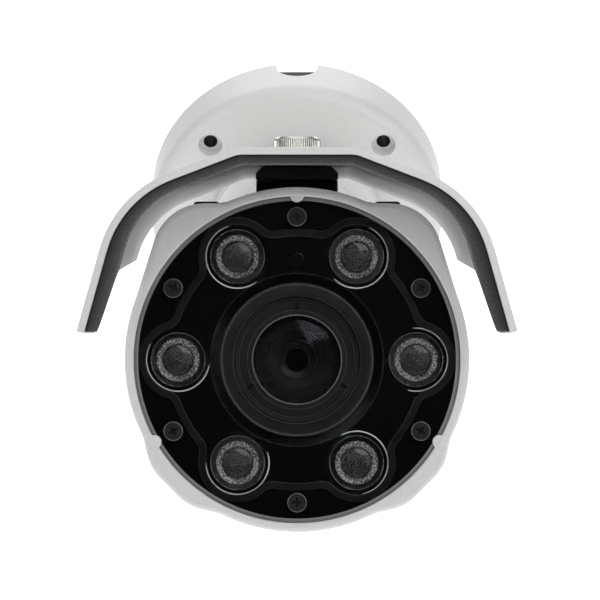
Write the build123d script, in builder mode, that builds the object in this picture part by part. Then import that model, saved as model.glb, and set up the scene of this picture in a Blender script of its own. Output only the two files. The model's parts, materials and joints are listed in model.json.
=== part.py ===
from build123d import *
import os
from math import acos, asin, cos, degrees, hypot, radians, sin

# Infrared bullet camera on a wall bracket, in millimetres.
# The wall is the plane y = 0, -Y points out of it, +Z is up and +X is to the right of the wall's viewer.
# The camera is tilted up at rest. Its own pieces are placed by distance ahead of the tilt pivot, along
# the lens axis, and by x and height from that axis.

os.makedirs("parts", exist_ok=True)

# ---------------------------------------------------------------- clearances
running = 0.05
slip = 0.15
gap = 0.3
wear = 0.1

# ---------------------------------------------------------------- wall base
base_r = 51.0
base_depth = 21.0
base_wall = 3.5
base_edge_r = 6.0
base_hole_pcd = 85.0
base_hole_count = 4
base_hole_r = 2.4
base_recess_r = 4.2
base_recess_depth = 3.0
base_boss_r = 6.5
stem_boss_r = 22.0
stem_boss_height = 9.5
gasket_width = 1.8
gasket_height = 1.2
notch_r = 7.0
notch_centre = 2.0
plug_depth = 5.5
plug_recess = 2.5
plug_chamfer = 0.6

# ---------------------------------------------------------------- bracket arm
pan_washer_thick = 0.8
foot_r = 30.0
foot_height = 8.0
foot_edge_r = 3.0
stem_r = 14.0
stem_tail = 4.0
cable_passage_r = 9.0
clip_thick = 1.5
clip_width = 4.5
clip_groove_depth = 2.0
neck_root_r = 24.0
neck_tip_width = 40.0
neck_tip_height = 34.0
neck_corner_r = 12.0
fork_reach = 115.5
ear_r = 17.0
ear_edge_r = 2.0
neck_setback = 27.5
fork_clearance = 2.0
lock_screw_r = 2.0
lock_socket_r = 1.2
lock_screw_length = 7.0
lock_screw_proud = 0.5
lock_hole_spare = 1.5

# ---------------------------------------------------------------- tilt knuckle
rest_tilt = 31.0
knuckle_r = 15.0
knuckle_half = 11.5
tilt_washer_thick = 0.7
tilt_washer_r = 9.0
tilt_bolt_r = 3.0
bolt_head_r = 5.0
bolt_head_height = 4.0
bolt_socket_r = 2.5
bolt_head_floor = 1.0
bolt_tail = 1.0
nut_flats = 10.0
nut_height = 5.0
knuckle_neck_r = 11.5
knuckle_edge_r = 1.5
roll_lock_length = 5.5
roll_lock_depth = 6.0
roll_lock_socket = 2.0
flange_start = 22.0
flange_r = 24.0
flange_thick = 6.0
stub_r = 10.0
stub_length = 16.0
stub_bore_r = 5.5
roll_nut_r = 14.0
roll_nut_height = 4.0

# ---------------------------------------------------------------- housing
tube_r = 50.0
tube_wall = 3.6
tube_length = 150.0
cap_depth = 18.0
cap_wall = 5.0
cap_edge_r = 5.0
cap_spigot = 8.0
seal_size = 2.0
cap_screw_inset = 8.0
cap_screw_circle = tube_r - cap_screw_inset
cap_screw_r = 1.5
cap_screw_head_r = 2.8
cap_screw_head = 3.0
cap_screw_length = 36.0
screw_sink = 0.2
screw_spare = 1.0
socket_key_r = 1.4
socket_key_depth = 1.6
cap_boss_r = 4.2
cap_boss_length = 14.0
gland_inset = 16.0
gland_offset = tube_r - gland_inset
gland_r = 7.0
gland_length = 6.5
gland_neck_r = 5.0
gland_bore_r = 3.5
gland_chamfer = 1.5
gland_barb = 1.0
gland_barb_length = 2.0

# ---------------------------------------------------------------- bezel and housing flange outline
rim_step = 1.8
rim_r = tube_r + rim_step
upper_tip_angle = 49.9
upper_tip_rise = 9.4
upper_shoulder_angle = 65.4
upper_tip_r = 16.0
lower_lobe_rise = 3.1
lower_lobe_reach = rim_r + lower_lobe_rise
lower_lobe_half = 18.3
lower_lobe_flat = 8.4
lower_tip_r = 15.0
lobe_root_r = 12.0
flange_length = 12.8
front_seal_thick = 1.2
front_seal_proud = 0.5
seal_tab_run = 5.9
seal_tab_width = 8.0
seal_tab_height = 2.4
bezel_length = 21.3
bezel_edge_r = 2.0
upper_screw_step = 1.7
lower_screw_step = 0.9
upper_screw_reach = tube_r + upper_screw_step
lower_screw_reach = tube_r + lower_screw_step
bezel_screw_length = 16.0
bezel_screw_seat = 7.0
bezel_screw_grip = 10.0

# ---------------------------------------------------------------- window
rim_band = 2.9
window_r = rim_r - rim_band
window_thick = 3.0
window_recess = 0.5
window_bevel = 1.2
ledge_width = 3.95
ledge_thick = 2.0
lug_r = 2.2
lug_step = 0.6
lug_circle = window_r + lug_step
lug_count = 3
window_screw_inset = 6.0
window_screw_circle = window_r - window_screw_inset
window_screw_count = 6
window_screw_r = 1.5
window_screw_head_r = 2.9
window_screw_length = 9.5
screw_cross = 2.8
screw_cross_width = 0.7
screw_cross_depth = 1.0
gasket_line_width = 2.2
gasket_line_thick = 1.2
gasket_line_r = 10.7
gasket_dip_inset = 10.7
gasket_dip_r = window_r - gasket_dip_inset
gasket_dip_corner = 5.0

# ---------------------------------------------------------------- mask plate, lamps and photocell
mask_skirt_inset = 3.9
mask_skirt_r = window_r - mask_skirt_inset
mask_thick = 2.5
mask_skirt = 1.0
mask_depth = 15.0
mask_opening_r = 26.0
mask_boss_r = 2.1
mask_boss_length = 8.0
led_inset = 13.1
led_circle = window_r - led_inset
led_count = 6
led_lens_r = 8.35
led_lens_rim = 2.2
led_lens_taper = 32.0
led_lens_back_r = 4.2
led_lens_depth = 6.4
led_lens_hollow_r = 2.8
led_lens_hollow = 1.2
led_well_gap = 0.75
led_board_thick = 1.6
led_board_setback = 11.8
emitter_size = 3.5
emitter_height = 1.4
phosphor_height = 0.4
photocell_inset = 5.9
photocell_height = led_circle - photocell_inset
photocell_r = 2.9
photocell_length = 9.8
photocell_edge_r = 1.0

# ---------------------------------------------------------------- lens
lens_front_setback = 11.0
lens_length = 56.0
lens_bell_r = 19.4
lens_bell_length = 6.0
lens_body_r = 17.0
lens_bore_r = 9.0
lens_spigot_r = 12.7
front_element_r = 13.9
front_element_edge = 5.0
front_element_bulge = 1.6
front_element_setback = 2.0
inner_element_thick = 3.5
inner_element_bulge = 1.2
inner_front_setback = 14.0
inner_rear_start = 8.0
retainer_r = 18.0
retainer_thick = 1.4
retainer_slot_width = 1.2
retainer_slot_length = 2.4
retainer_slot_circle = 16.3
retainer_slot_count = 3
retainer_overlap = 0.7
baffle_wall = 1.9
baffle_lip_r = 23.2
baffle_lip = 2.0
baffle_overlap = 4.0
baffle_lip_width = 1.0
adjust_ring_r = 19.6
adjust_ring_width = 8.0
adjust_rib_count = 18
adjust_rib_r = 0.5
zoom_ring_start = 12.0
focus_ring_start = 30.0
lever_r = 1.2
lever_head_r = 2.2
lever_length = 7.0
lever_head = 2.0
mount_plate_r = 23.0
mount_plate_thick = 3.0

# ---------------------------------------------------------------- filter, sensor and boards
filter_frame_width = 40.0
filter_frame_height = 22.0
filter_frame_thick = 6.0
filter_width = 14.0
filter_height = 12.0
filter_thick = 1.2
filter_travel = 10.0
filter_shoulder = 1.5
sensor_gap = 3.0
sensor_width = 9.0
sensor_height = 7.0
sensor_thick = 1.4
sensor_rim = 1.0
sensor_well = 0.4
sensor_board_side = 38.0
board_thick = 1.6
post_r = 2.2
chassis_half = 34.0
chassis_drop = 26.0
chassis_sheet = 2.0
chassis_upright_half = 26.0
main_board_width = 56.0
main_board_length = 64.0
main_board_start = 72.0
chassis_start = 70.0
chassis_length = 120.0
main_board_lift = 6.0
power_board_lift = 28.0
power_board_width = 46.0
power_board_length = 56.0
processor_side = 17.0
processor_height = 2.4
processor_chamfer = 1.0
socket_width = 16.0
socket_depth = 18.0
socket_height = 13.0
socket_wall = 1.5
socket_setback = 1.0
coil_r = 6.0
coil_height = 9.0
coil_spacing = 18.0
coil_edge_r = 1.0

# ---------------------------------------------------------------- hood, rail and thumb screw
hood_length = 175.0
hood_overhang = 24.0
hood_sheet = 2.2
lip_length = 18.0
lip_flare = 5.0
lip_rise = 3.0
lip_tip_depth = 12.0
trim_r = 6.0
lip_height = 13.0
lip_top = tube_r + lip_height
lip_top_half = 18.0
lip_crease_r = 3.0
lip_corner_out = 4.0
lip_corner_drop = 0.8
lip_corner_x = tube_r + lip_corner_out
lip_corner_y = tube_r - lip_corner_drop
lip_corner_r = 34.0
lip_tip_out = 15.4
lip_tip_x = tube_r + lip_tip_out
lip_tip_y = 8.4
lip_root_out = 20.5
lip_root_x = tube_r + lip_root_out
lip_root_y = -10.0
skirt_front_y = 27.0
skirt_rear_y = 33.0
lining_thick = 0.6
hood_travel = 12.0
rail_half = 12.5
rail_pad = 0.6
rail_margin = 3.0
rail_length = 80.0
rail_nose_length = 22.0
rail_nose_height = 4.0
rail_chamfer = 2.0
rail_screw_r = 1.5
rail_screw_head_r = 2.8
rail_screw_head = 3.0
rail_screw_spread = 56.0
rail_screw_length = 11.0
thumb_station = 140.0
thumb_shank_r = 2.5
thumb_head_r = 7.5
thumb_head_height = 8.0
thumb_chamfer = 1.0
thumb_knurls = 36
thumb_knurl_r = 0.45
thumb_washer_r = 6.5
thumb_washer_thick = 0.6
rail_nut_side = 8.0
rail_nut_height = 4.0

# ---------------------------------------------------------------- derived places
lens_y = -cos(radians(rest_tilt))
lens_z = sin(radians(rest_tilt))
pivot = (0, -fork_reach, 0)
lens_direction = (0, lens_y, lens_z)
up_direction = (0, lens_z, -lens_y)

wall = Plane(origin=(0, 0, 0), x_dir=(1, 0, 0), z_dir=(0, -1, 0))
lens = Plane(origin=pivot, x_dir=(1, 0, 0), z_dir=lens_direction)
lens_side = Plane(origin=pivot, x_dir=(1, 0, 0), z_dir=(0, -lens_z, lens_y))
lens_middle = Plane(origin=pivot, x_dir=up_direction, z_dir=(1, 0, 0))
lens_axis = Axis(pivot, lens_direction)

base_floor = base_depth - base_wall
foot_start = base_depth + pan_washer_thick + wear
neck_start = foot_start + foot_height
neck_end = fork_reach - neck_setback
fork_floor = fork_reach - knuckle_r - fork_clearance
ear_inner = knuckle_half + tilt_washer_thick + wear
ear_outer = neck_tip_width / 2

upper_tip_reach = rim_r + upper_tip_rise
upper_tip_x = upper_tip_reach * cos(radians(upper_tip_angle))
upper_tip_y = upper_tip_reach * sin(radians(upper_tip_angle))
upper_side_angle = upper_tip_angle - degrees(acos(rim_r / upper_tip_reach))
upper_shoulder_x = rim_r * cos(radians(upper_shoulder_angle))
upper_shoulder_y = rim_r * sin(radians(upper_shoulder_angle))
seal_tab_x = upper_shoulder_x + seal_tab_run
seal_tab_y = upper_tip_y

flange_end = flange_start + flange_thick
cap_start = flange_end + gap
tube_start = cap_start + cap_depth
tube_end = tube_start + tube_length
tube_bore_r = tube_r - tube_wall
bezel_start = tube_end + front_seal_thick
bezel_front = bezel_start + bezel_length
window_front = bezel_front - window_recess
window_back = window_front - window_thick
bezel_bore_r = window_r + slip
ledge_r = bezel_bore_r - ledge_width
mask_front = window_back - gasket_line_thick
mask_back = mask_front - mask_thick
led_front = mask_front
led_well_r = led_lens_r + led_well_gap
led_board_back = mask_front - led_board_setback
led_board_front = led_board_back + led_board_thick
mask_r = window_r
mask_inner_r = mask_skirt_r - mask_skirt

lens_front = window_back - lens_front_setback + baffle_lip
lens_back = lens_front - lens_length
bell_start = lens_front - lens_bell_length
mount_front = lens_back + mount_plate_thick
mount_back = lens_back
frame_back = mount_back - filter_frame_thick
sensor_front = frame_back - sensor_gap
sensor_board_front = sensor_front - sensor_thick
sensor_board_back = sensor_board_front - board_thick
chassis_top = -chassis_drop + chassis_sheet
main_board_y = chassis_top + main_board_lift
main_board_top = main_board_y + board_thick
power_board_y = main_board_top + power_board_lift

lip_end = window_front + hood_overhang
lip_start = lip_end - lip_length
hood_start = lip_end - hood_length
hood_top = lip_top - lip_flare + lip_rise
hood_inner_top = hood_top - hood_sheet
rail_top = hood_inner_top - gap
rail_start = thumb_station - rail_length / 2
slot_length = 2 * hood_travel + 2 * (thumb_shank_r + gap)


# ---------------------------------------------------------------- helpers
def above(station, height, across=0.0):
    """Plane facing away from the lens axis, at a station along it."""
    return Plane(
        origin=lens.from_local_coords((across, height, station)),
        x_dir=(1, 0, 0),
        z_dir=up_direction,
    )


def disc(plane, radius, height, bore=0.0, mode=Mode.ADD):
    """Round plate or ring that rises from a plane."""
    with BuildSketch(plane) as face:
        Circle(radius)
        if bore:
            Circle(bore, mode=Mode.SUBTRACT)
    extrude(face.sketch, amount=height, mode=mode)


def discs(plane, places, radius, height, taper=0.0, mode=Mode.ADD):
    """The same round plate, or cone, at each of several places."""
    with BuildSketch(plane) as face:
        with places:
            Circle(radius)
    extrude(face.sketch, amount=height, taper=taper, mode=mode)


def block(plane, width, length, height, centre=(0, 0), mode=Mode.ADD):
    """Rectangular block that rises from a plane."""
    with BuildSketch(plane) as face:
        with Locations(centre):
            Rectangle(width, length)
    extrude(face.sketch, amount=height, mode=mode)


def turned(plane, axis, *profile, mode=Mode.ADD):
    """Closed profile of radius and height, turned about an axis."""
    with BuildSketch(plane) as section:
        with BuildLine():
            Polyline(*profile, close=True)
        make_face()
    revolve(section.sketch, axis=axis, mode=mode)


def polar(reach, angle):
    """Point at a distance and an angle from the lens axis."""
    return (reach * cos(radians(angle)), reach * sin(radians(angle)))


def keep(piece, label):
    """Name a finished piece and write it."""
    piece.part.label = label
    export_step(piece.part, f"parts/{label}.step")


def is_upper_tip(vertex):
    return hypot(vertex.X, vertex.Y) > upper_tip_reach - 1


def is_lower_tip(vertex):
    return vertex.Y < 0 and abs(hypot(vertex.X, vertex.Y) - lower_lobe_reach) < 1


def is_lobe_root(vertex):
    on_rim = abs(hypot(vertex.X, vertex.Y) - rim_r) < 0.5
    return on_rim and (vertex.Y < -1 or vertex.Y > upper_shoulder_y - 1)


def lobed_outline(plane, grow=0.0):
    """Round outline with two rounded shoulders above and two flatter lobes below."""
    side_x, side_y = polar(rim_r, upper_side_angle)
    with BuildSketch(plane) as outline:
        Circle(rim_r)
        for hand in (1, -1):
            with BuildLine():
                Polyline(
                    (0, 0),
                    (hand * side_x, side_y),
                    (hand * upper_tip_x, upper_tip_y),
                    (hand * upper_shoulder_x, upper_shoulder_y),
                    close=True,
                )
            make_face()
        for middle in (225, 315):
            with BuildLine():
                Polyline(
                    (0, 0),
                    polar(rim_r, middle - lower_lobe_half),
                    polar(lower_lobe_reach, middle - lower_lobe_flat),
                    polar(lower_lobe_reach, middle + lower_lobe_flat),
                    polar(rim_r, middle + lower_lobe_half),
                    close=True,
                )
            make_face()
        fillet(outline.vertices().filter_by(is_upper_tip), upper_tip_r)
        fillet(outline.vertices().filter_by(is_lower_tip), lower_tip_r)
        fillet(outline.vertices().filter_by(is_lobe_root), lobe_root_r)
        if grow:
            offset(amount=grow)
    return outline.sketch


def hood_face(plane, inset, rise=0.0):
    """Folded hood profile as a closed face: flat top, sloping sides and long skirts."""
    crease_r = lip_crease_r + lip_flare
    with BuildSketch(plane) as face:
        with BuildLine():
            FilletPolyline(
                (lip_root_x, lip_root_y + rise),
                (lip_corner_x, lip_corner_y + rise),
                (lip_top_half, lip_top + rise),
                (-lip_top_half, lip_top + rise),
                (-lip_corner_x, lip_corner_y + rise),
                (-lip_root_x, lip_root_y + rise),
                radius=[0, lip_corner_r, crease_r, crease_r, lip_corner_r, 0],
                close=True,
            )
        make_face()
        if inset:
            offset(amount=-inset)
    return face.sketch


# ================================================================ wall base
with BuildPart() as wall_base:
    disc(wall, base_r, base_depth)
    fillet(wall_base.faces().sort_by(Axis.Y)[0].edges(), base_edge_r)
    disc(wall, base_r - base_wall, base_floor, mode=Mode.SUBTRACT)
    disc(wall.offset(base_floor - stem_boss_height), stem_boss_r, stem_boss_height)
    discs(
        wall,
        PolarLocations(base_hole_pcd / 2, base_hole_count, start_angle=45),
        base_boss_r,
        base_floor,
    )
    disc(wall, stem_r + running, base_depth, mode=Mode.SUBTRACT)
    discs(
        wall,
        PolarLocations(base_hole_pcd / 2, base_hole_count, start_angle=45),
        base_hole_r,
        base_depth,
        mode=Mode.SUBTRACT,
    )
    discs(
        wall.offset(base_depth - base_recess_depth),
        PolarLocations(base_hole_pcd / 2, base_hole_count, start_angle=45),
        base_recess_r,
        base_recess_depth,
        mode=Mode.SUBTRACT,
    )
    with BuildSketch(Plane.XY.offset(base_r / 2)):
        with Locations((0, -notch_centre)):
            Circle(notch_r)
        with Locations((0, -notch_centre / 2)):
            Rectangle(2 * notch_r, notch_centre)
    extrude(amount=base_r, mode=Mode.SUBTRACT)
    gasket_r = base_r - (base_wall - gasket_width) / 2
    disc(wall, gasket_r, gasket_height, bore=gasket_r - gasket_width, mode=Mode.SUBTRACT)
keep(wall_base, "wall_base")

with BuildPart() as base_gasket:
    disc(wall, gasket_r, gasket_height, bore=gasket_r - gasket_width)
    block(Plane.XY, 2 * (notch_r + 1), 2 * notch_r, 2 * base_r, mode=Mode.SUBTRACT)
keep(base_gasket, "base_gasket")

with BuildPart() as conduit_plug:
    plug_top = (base_r**2 - notch_r**2) ** 0.5 - plug_recess
    with BuildSketch(Plane.XY.offset(plug_top)):
        with Locations((0, -notch_centre)):
            Circle(notch_r - slip)
        with Locations((0, notch_r)):
            Rectangle(2 * notch_r, 2 * notch_r, mode=Mode.SUBTRACT)
    extrude(amount=-plug_depth)
    chamfer(conduit_plug.faces().sort_by(Axis.Z)[-1].edges(), plug_chamfer)
keep(conduit_plug, "conduit_plug")

with BuildPart() as pan_washer:
    disc(wall.offset(base_depth), foot_r - foot_edge_r, pan_washer_thick, bore=stem_r + gap)
keep(pan_washer, "pan_washer")

# ================================================================ bracket arm
with BuildPart() as pan_arm:
    with BuildSketch(Plane.YZ):
        with Locations((-fork_reach, 0)):
            Circle(ear_r)
        with Locations((-(neck_end + fork_reach) / 2, 0)):
            Rectangle(fork_reach - neck_end, 2 * ear_r)
    extrude(amount=ear_outer, both=True)
    fillet(pan_arm.faces().filter_by(Axis.X).edges().filter_by(GeomType.CIRCLE), ear_edge_r)
    with BuildSketch(wall.offset(neck_start)):
        Circle(neck_root_r)
    with BuildSketch(wall.offset(neck_end)):
        RectangleRounded(neck_tip_width, neck_tip_height, neck_corner_r)
    loft()
    disc(wall.offset(foot_start), foot_r, foot_height)
    fillet(pan_arm.faces().filter_by(Axis.Y).sort_by(SortBy.AREA)[-1].edges(), foot_edge_r)
    disc(wall.offset(stem_tail), stem_r, foot_start - stem_tail)
    block(
        wall.offset(fork_floor),
        2 * ear_inner,
        4 * ear_r,
        fork_reach,
        mode=Mode.SUBTRACT,
    )
    disc(wall, cable_passage_r, fork_reach, mode=Mode.SUBTRACT)
    clip_groove = stem_r - clip_groove_depth
    clip_back = base_floor - stem_boss_height - clip_thick - gap
    disc(wall.offset(clip_back), stem_r + 1, clip_thick, bore=clip_groove, mode=Mode.SUBTRACT)
    with BuildSketch(Plane.YZ.offset(-neck_tip_width)):
        with Locations((-fork_reach, 0)):
            Circle(tilt_bolt_r + slip)
    extrude(amount=2 * neck_tip_width, mode=Mode.SUBTRACT)
    with BuildSketch(Plane.XY.offset(-foot_r - lock_screw_proud)):
        with Locations((0, -(foot_start + foot_height / 2))):
            Circle(lock_screw_r)
    extrude(amount=lock_screw_length + lock_hole_spare, mode=Mode.SUBTRACT)
keep(pan_arm, "pan_arm")

with BuildPart() as pan_clip:
    disc(wall.offset(clip_back), clip_groove + clip_width, clip_thick, bore=clip_groove)
    block(
        wall.offset(clip_back),
        2 * clip_width,
        2 * stem_r,
        clip_thick,
        centre=(0, -stem_r),
        mode=Mode.SUBTRACT,
    )
keep(pan_clip, "pan_clip")

with BuildPart() as arm_lock_screw:
    with BuildSketch(Plane.XY.offset(-foot_r - lock_screw_proud)):
        with Locations((0, -(foot_start + foot_height / 2))):
            Circle(lock_screw_r)
            RegularPolygon(radius=lock_socket_r, side_count=6, mode=Mode.SUBTRACT)
    extrude(amount=lock_screw_length)
keep(arm_lock_screw, "arm_lock_screw")

with BuildPart() as tilt_bolt:
    bolt_plane = Plane(origin=(-ear_outer, -fork_reach, 0), x_dir=(0, 1, 0), z_dir=(1, 0, 0))
    disc(bolt_plane, tilt_bolt_r, 2 * ear_outer + nut_height + bolt_tail)
    disc(bolt_plane.offset(-bolt_head_height), bolt_head_r, bolt_head_height)
    with BuildSketch(bolt_plane.offset(-bolt_head_height)):
        RegularPolygon(radius=bolt_socket_r, side_count=6)
    extrude(amount=bolt_head_height - bolt_head_floor, mode=Mode.SUBTRACT)
keep(tilt_bolt, "tilt_bolt")

with BuildPart() as tilt_nut:
    with BuildSketch(bolt_plane.offset(2 * ear_outer)):
        RegularPolygon(radius=nut_flats / 2, side_count=6, major_radius=False)
        Circle(tilt_bolt_r, mode=Mode.SUBTRACT)
    extrude(amount=nut_height)
keep(tilt_nut, "tilt_nut")

with BuildPart() as tilt_washers:
    washer_plane = Plane(origin=(0, -fork_reach, 0), x_dir=(0, 1, 0), z_dir=(1, 0, 0))
    disc(
        washer_plane.offset(knuckle_half + wear),
        tilt_washer_r,
        tilt_washer_thick,
        bore=tilt_bolt_r + slip,
    )
    mirror(about=Plane.YZ)
keep(tilt_washers, "tilt_washers")

# ================================================================ tilt knuckle
roll_lock_plane = above(flange_start + flange_thick / 2, flange_r - roll_lock_depth)

with BuildPart() as tilt_knuckle:
    with BuildSketch(lens_middle):
        Circle(knuckle_r)
    extrude(amount=knuckle_half, both=True)
    disc(lens, knuckle_neck_r, flange_start)
    disc(lens.offset(flange_start), flange_r, flange_thick)
    fillet(tilt_knuckle.edges().filter_by(GeomType.CIRCLE).sort_by(SortBy.RADIUS)[-2:], knuckle_edge_r)
    disc(lens.offset(flange_end), stub_r, stub_length)
    disc(lens.offset(knuckle_r), stub_bore_r, flange_end + stub_length, mode=Mode.SUBTRACT)
    with BuildSketch(lens_middle):
        Circle(tilt_bolt_r + running)
    extrude(amount=knuckle_r, both=True, mode=Mode.SUBTRACT)
    disc(roll_lock_plane, lock_screw_r, roll_lock_depth + 1, mode=Mode.SUBTRACT)
keep(tilt_knuckle, "tilt_knuckle")

with BuildPart() as roll_lock_screw:
    disc(roll_lock_plane, lock_screw_r, roll_lock_length)
    with BuildSketch(roll_lock_plane.offset(roll_lock_length - roll_lock_socket)):
        RegularPolygon(radius=lock_socket_r, side_count=6)
    extrude(amount=roll_lock_socket, mode=Mode.SUBTRACT)
keep(roll_lock_screw, "roll_lock_screw")

with BuildPart() as roll_nut:
    roll_nut_start = cap_start + cap_wall + gap
    with BuildSketch(lens.offset(roll_nut_start)):
        RegularPolygon(radius=roll_nut_r, side_count=8)
        Circle(stub_r, mode=Mode.SUBTRACT)
    extrude(amount=roll_nut_height)
keep(roll_nut, "roll_nut")

# ================================================================ rear cap
gland_place = Locations((0, -gland_offset))

with BuildPart() as rear_cap:
    disc(lens.offset(cap_start), tube_r, cap_depth)
    fillet(rear_cap.edges().filter_by(GeomType.CIRCLE).sort_by(lens_axis)[0], cap_edge_r)
    disc(lens.offset(tube_start), tube_bore_r - running, cap_spigot)
    disc(
        lens.offset(cap_start + cap_wall),
        tube_bore_r - tube_wall,
        cap_depth + cap_spigot,
        mode=Mode.SUBTRACT,
    )
    seal_start = tube_start + (cap_spigot - seal_size) / 2
    disc(
        lens.offset(seal_start),
        tube_r,
        seal_size,
        bore=tube_bore_r - running - seal_size / 2,
        mode=Mode.SUBTRACT,
    )
    cap_corners = PolarLocations(cap_screw_circle, 4, start_angle=45)
    discs(
        lens.offset(cap_start + cap_wall / 2),
        cap_corners,
        cap_boss_r,
        cap_depth + cap_spigot - cap_wall / 2,
    )
    cap_face = lens.offset(cap_start)
    discs(cap_face, cap_corners, cap_screw_head_r + slip, cap_screw_head, mode=Mode.SUBTRACT)
    discs(cap_face, cap_corners, cap_screw_r + slip, cap_screw_length, mode=Mode.SUBTRACT)
    disc(cap_face, stub_r + running, cap_depth, mode=Mode.SUBTRACT)
    discs(cap_face, gland_place, gland_neck_r, cap_depth, mode=Mode.SUBTRACT)
keep(rear_cap, "rear_cap")

with BuildPart() as rear_seal:
    disc(
        lens.offset(seal_start),
        tube_bore_r,
        seal_size,
        bore=tube_bore_r - running - seal_size / 2,
    )
    discs(lens.offset(seal_start), cap_corners, cap_boss_r, seal_size, mode=Mode.SUBTRACT)
keep(rear_seal, "rear_seal")

with BuildPart() as cap_screws:
    discs(lens.offset(cap_start + screw_sink), cap_corners, cap_screw_head_r, cap_screw_head - screw_sink)
    discs(
        lens.offset(cap_start + cap_screw_head),
        cap_corners,
        cap_screw_r,
        cap_screw_length - cap_screw_head - screw_spare,
    )
    with BuildSketch(lens.offset(cap_start + screw_sink)):
        with cap_corners:
            RegularPolygon(radius=socket_key_r, side_count=6)
    extrude(amount=socket_key_depth, mode=Mode.SUBTRACT)
keep(cap_screws, "cap_screws")

with BuildPart() as cable_gland:
    discs(lens.offset(cap_start - gland_length), gland_place, gland_r, gland_length)
    chamfer(cable_gland.edges().filter_by(GeomType.CIRCLE).sort_by(lens_axis)[0], gland_chamfer)
    discs(lens.offset(cap_start), gland_place, gland_neck_r, cap_wall)
    discs(lens.offset(cap_start + cap_wall), gland_place, gland_neck_r + gland_barb, gland_barb_length)
    discs(lens, gland_place, gland_bore_r, tube_start, mode=Mode.SUBTRACT)
keep(cable_gland, "cable_gland")

# ================================================================ housing
bezel_corners = [polar(upper_screw_reach, a) for a in (upper_tip_angle, 180 - upper_tip_angle)]
bezel_corners += [polar(lower_screw_reach, a) for a in (225, 315)]
bezel_screw_places = Locations(*bezel_corners)

rail_floor = tube_r + rail_pad
rail_screw_places = Locations((0, -rail_screw_spread / 2), (0, rail_screw_spread / 2))

with BuildPart() as housing_tube:
    disc(lens.offset(tube_start), tube_r, tube_length)
    extrude(lobed_outline(lens.offset(tube_end - flange_length)), amount=flange_length)
    block(
        above(thumb_station, 0),
        2 * (rail_half + rail_margin),
        rail_length + 2 * rail_margin,
        rail_floor,
    )
    disc(lens.offset(tube_start), tube_bore_r, tube_length, mode=Mode.SUBTRACT)
    discs(
        lens.offset(tube_start + cap_spigot + gap),
        cap_corners,
        tube_bore_r - cap_screw_circle + tube_wall / 2,
        cap_boss_length,
    )
    discs(lens, cap_corners, cap_screw_r, cap_start + cap_screw_length + screw_spare, mode=Mode.SUBTRACT)
    discs(
        lens.offset(tube_start),
        bezel_screw_places,
        cap_screw_head_r + slip,
        tube_length - bezel_screw_seat,
        mode=Mode.SUBTRACT,
    )
    discs(
        lens.offset(tube_start),
        bezel_screw_places,
        cap_screw_r + slip,
        tube_length,
        mode=Mode.SUBTRACT,
    )
    discs(
        above(thumb_station, tube_bore_r - rail_screw_r),
        rail_screw_places,
        rail_screw_r,
        tube_r,
        mode=Mode.SUBTRACT,
    )
keep(housing_tube, "housing_tube")

with BuildPart() as front_seal:
    extrude(lobed_outline(lens.offset(tube_end), front_seal_proud), amount=front_seal_thick)
    with BuildSketch(lens.offset(tube_end)):
        with Locations((seal_tab_x, seal_tab_y), (-seal_tab_x, seal_tab_y)):
            SlotOverall(seal_tab_width, seal_tab_height)
    extrude(amount=front_seal_thick)
    disc(lens.offset(tube_end), tube_bore_r, front_seal_thick, mode=Mode.SUBTRACT)
    discs(
        lens.offset(tube_end),
        bezel_screw_places,
        cap_screw_r + slip,
        front_seal_thick,
        mode=Mode.SUBTRACT,
    )
keep(front_seal, "front_seal")

with BuildPart() as front_bezel:
    extrude(lobed_outline(lens.offset(bezel_start)), amount=bezel_length)
    fillet(front_bezel.faces().sort_by(lens_axis)[-1].edges(), bezel_edge_r)
    disc(lens.offset(bezel_start), tube_bore_r, mask_back - ledge_thick - bezel_start, mode=Mode.SUBTRACT)
    disc(lens.offset(bezel_start), ledge_r, bezel_length, mode=Mode.SUBTRACT)
    disc(lens.offset(mask_back), bezel_bore_r, bezel_length, mode=Mode.SUBTRACT)
    lug_places = PolarLocations(lug_circle, lug_count, start_angle=90)
    discs(lens.offset(mask_front), lug_places, lug_r, bezel_front - mask_front)
    discs(lens, bezel_screw_places, cap_screw_r, tube_end + bezel_screw_grip, mode=Mode.SUBTRACT)
keep(front_bezel, "front_bezel")

with BuildPart() as bezel_screws:
    seat = tube_end - bezel_screw_seat
    discs(lens.offset(seat - cap_screw_head), bezel_screw_places, cap_screw_head_r, cap_screw_head)
    discs(lens.offset(seat), bezel_screw_places, cap_screw_r, bezel_screw_length)
    with BuildSketch(lens.offset(seat - cap_screw_head)):
        with bezel_screw_places:
            RegularPolygon(radius=socket_key_r, side_count=6)
    extrude(amount=socket_key_depth, mode=Mode.SUBTRACT)
keep(bezel_screws, "bezel_screws")

# ================================================================ window
window_screw_places = PolarLocations(window_screw_circle, window_screw_count, start_angle=30)
sink_depth = window_screw_head_r - window_screw_r

with BuildPart() as window:
    disc(lens.offset(window_back), window_r, window_thick)
    chamfer(window.faces().sort_by(lens_axis)[-1].edges(), window_bevel)
    discs(lens.offset(window_back), lug_places, lug_r + slip, window_thick, mode=Mode.SUBTRACT)
    discs(
        lens.offset(window_back),
        window_screw_places,
        window_screw_r + slip,
        window_thick,
        mode=Mode.SUBTRACT,
    )
    discs(
        lens.offset(window_front - sink_depth),
        window_screw_places,
        window_screw_r + slip,
        sink_depth,
        taper=-45,
        mode=Mode.SUBTRACT,
    )
keep(window, "window")

with BuildPart() as window_screws:
    discs(lens.offset(window_front - sink_depth), window_screw_places, window_screw_r, sink_depth, taper=-45)
    discs(
        lens.offset(window_front - window_screw_length),
        window_screw_places,
        window_screw_r,
        window_screw_length,
    )
    for turn in (0, 90):
        with BuildSketch(lens.offset(window_front - screw_cross_depth)):
            with window_screw_places:
                Rectangle(screw_cross, screw_cross_width, rotation=turn)
        extrude(amount=screw_cross_depth, mode=Mode.SUBTRACT)
keep(window_screws, "window_screws")


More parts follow.
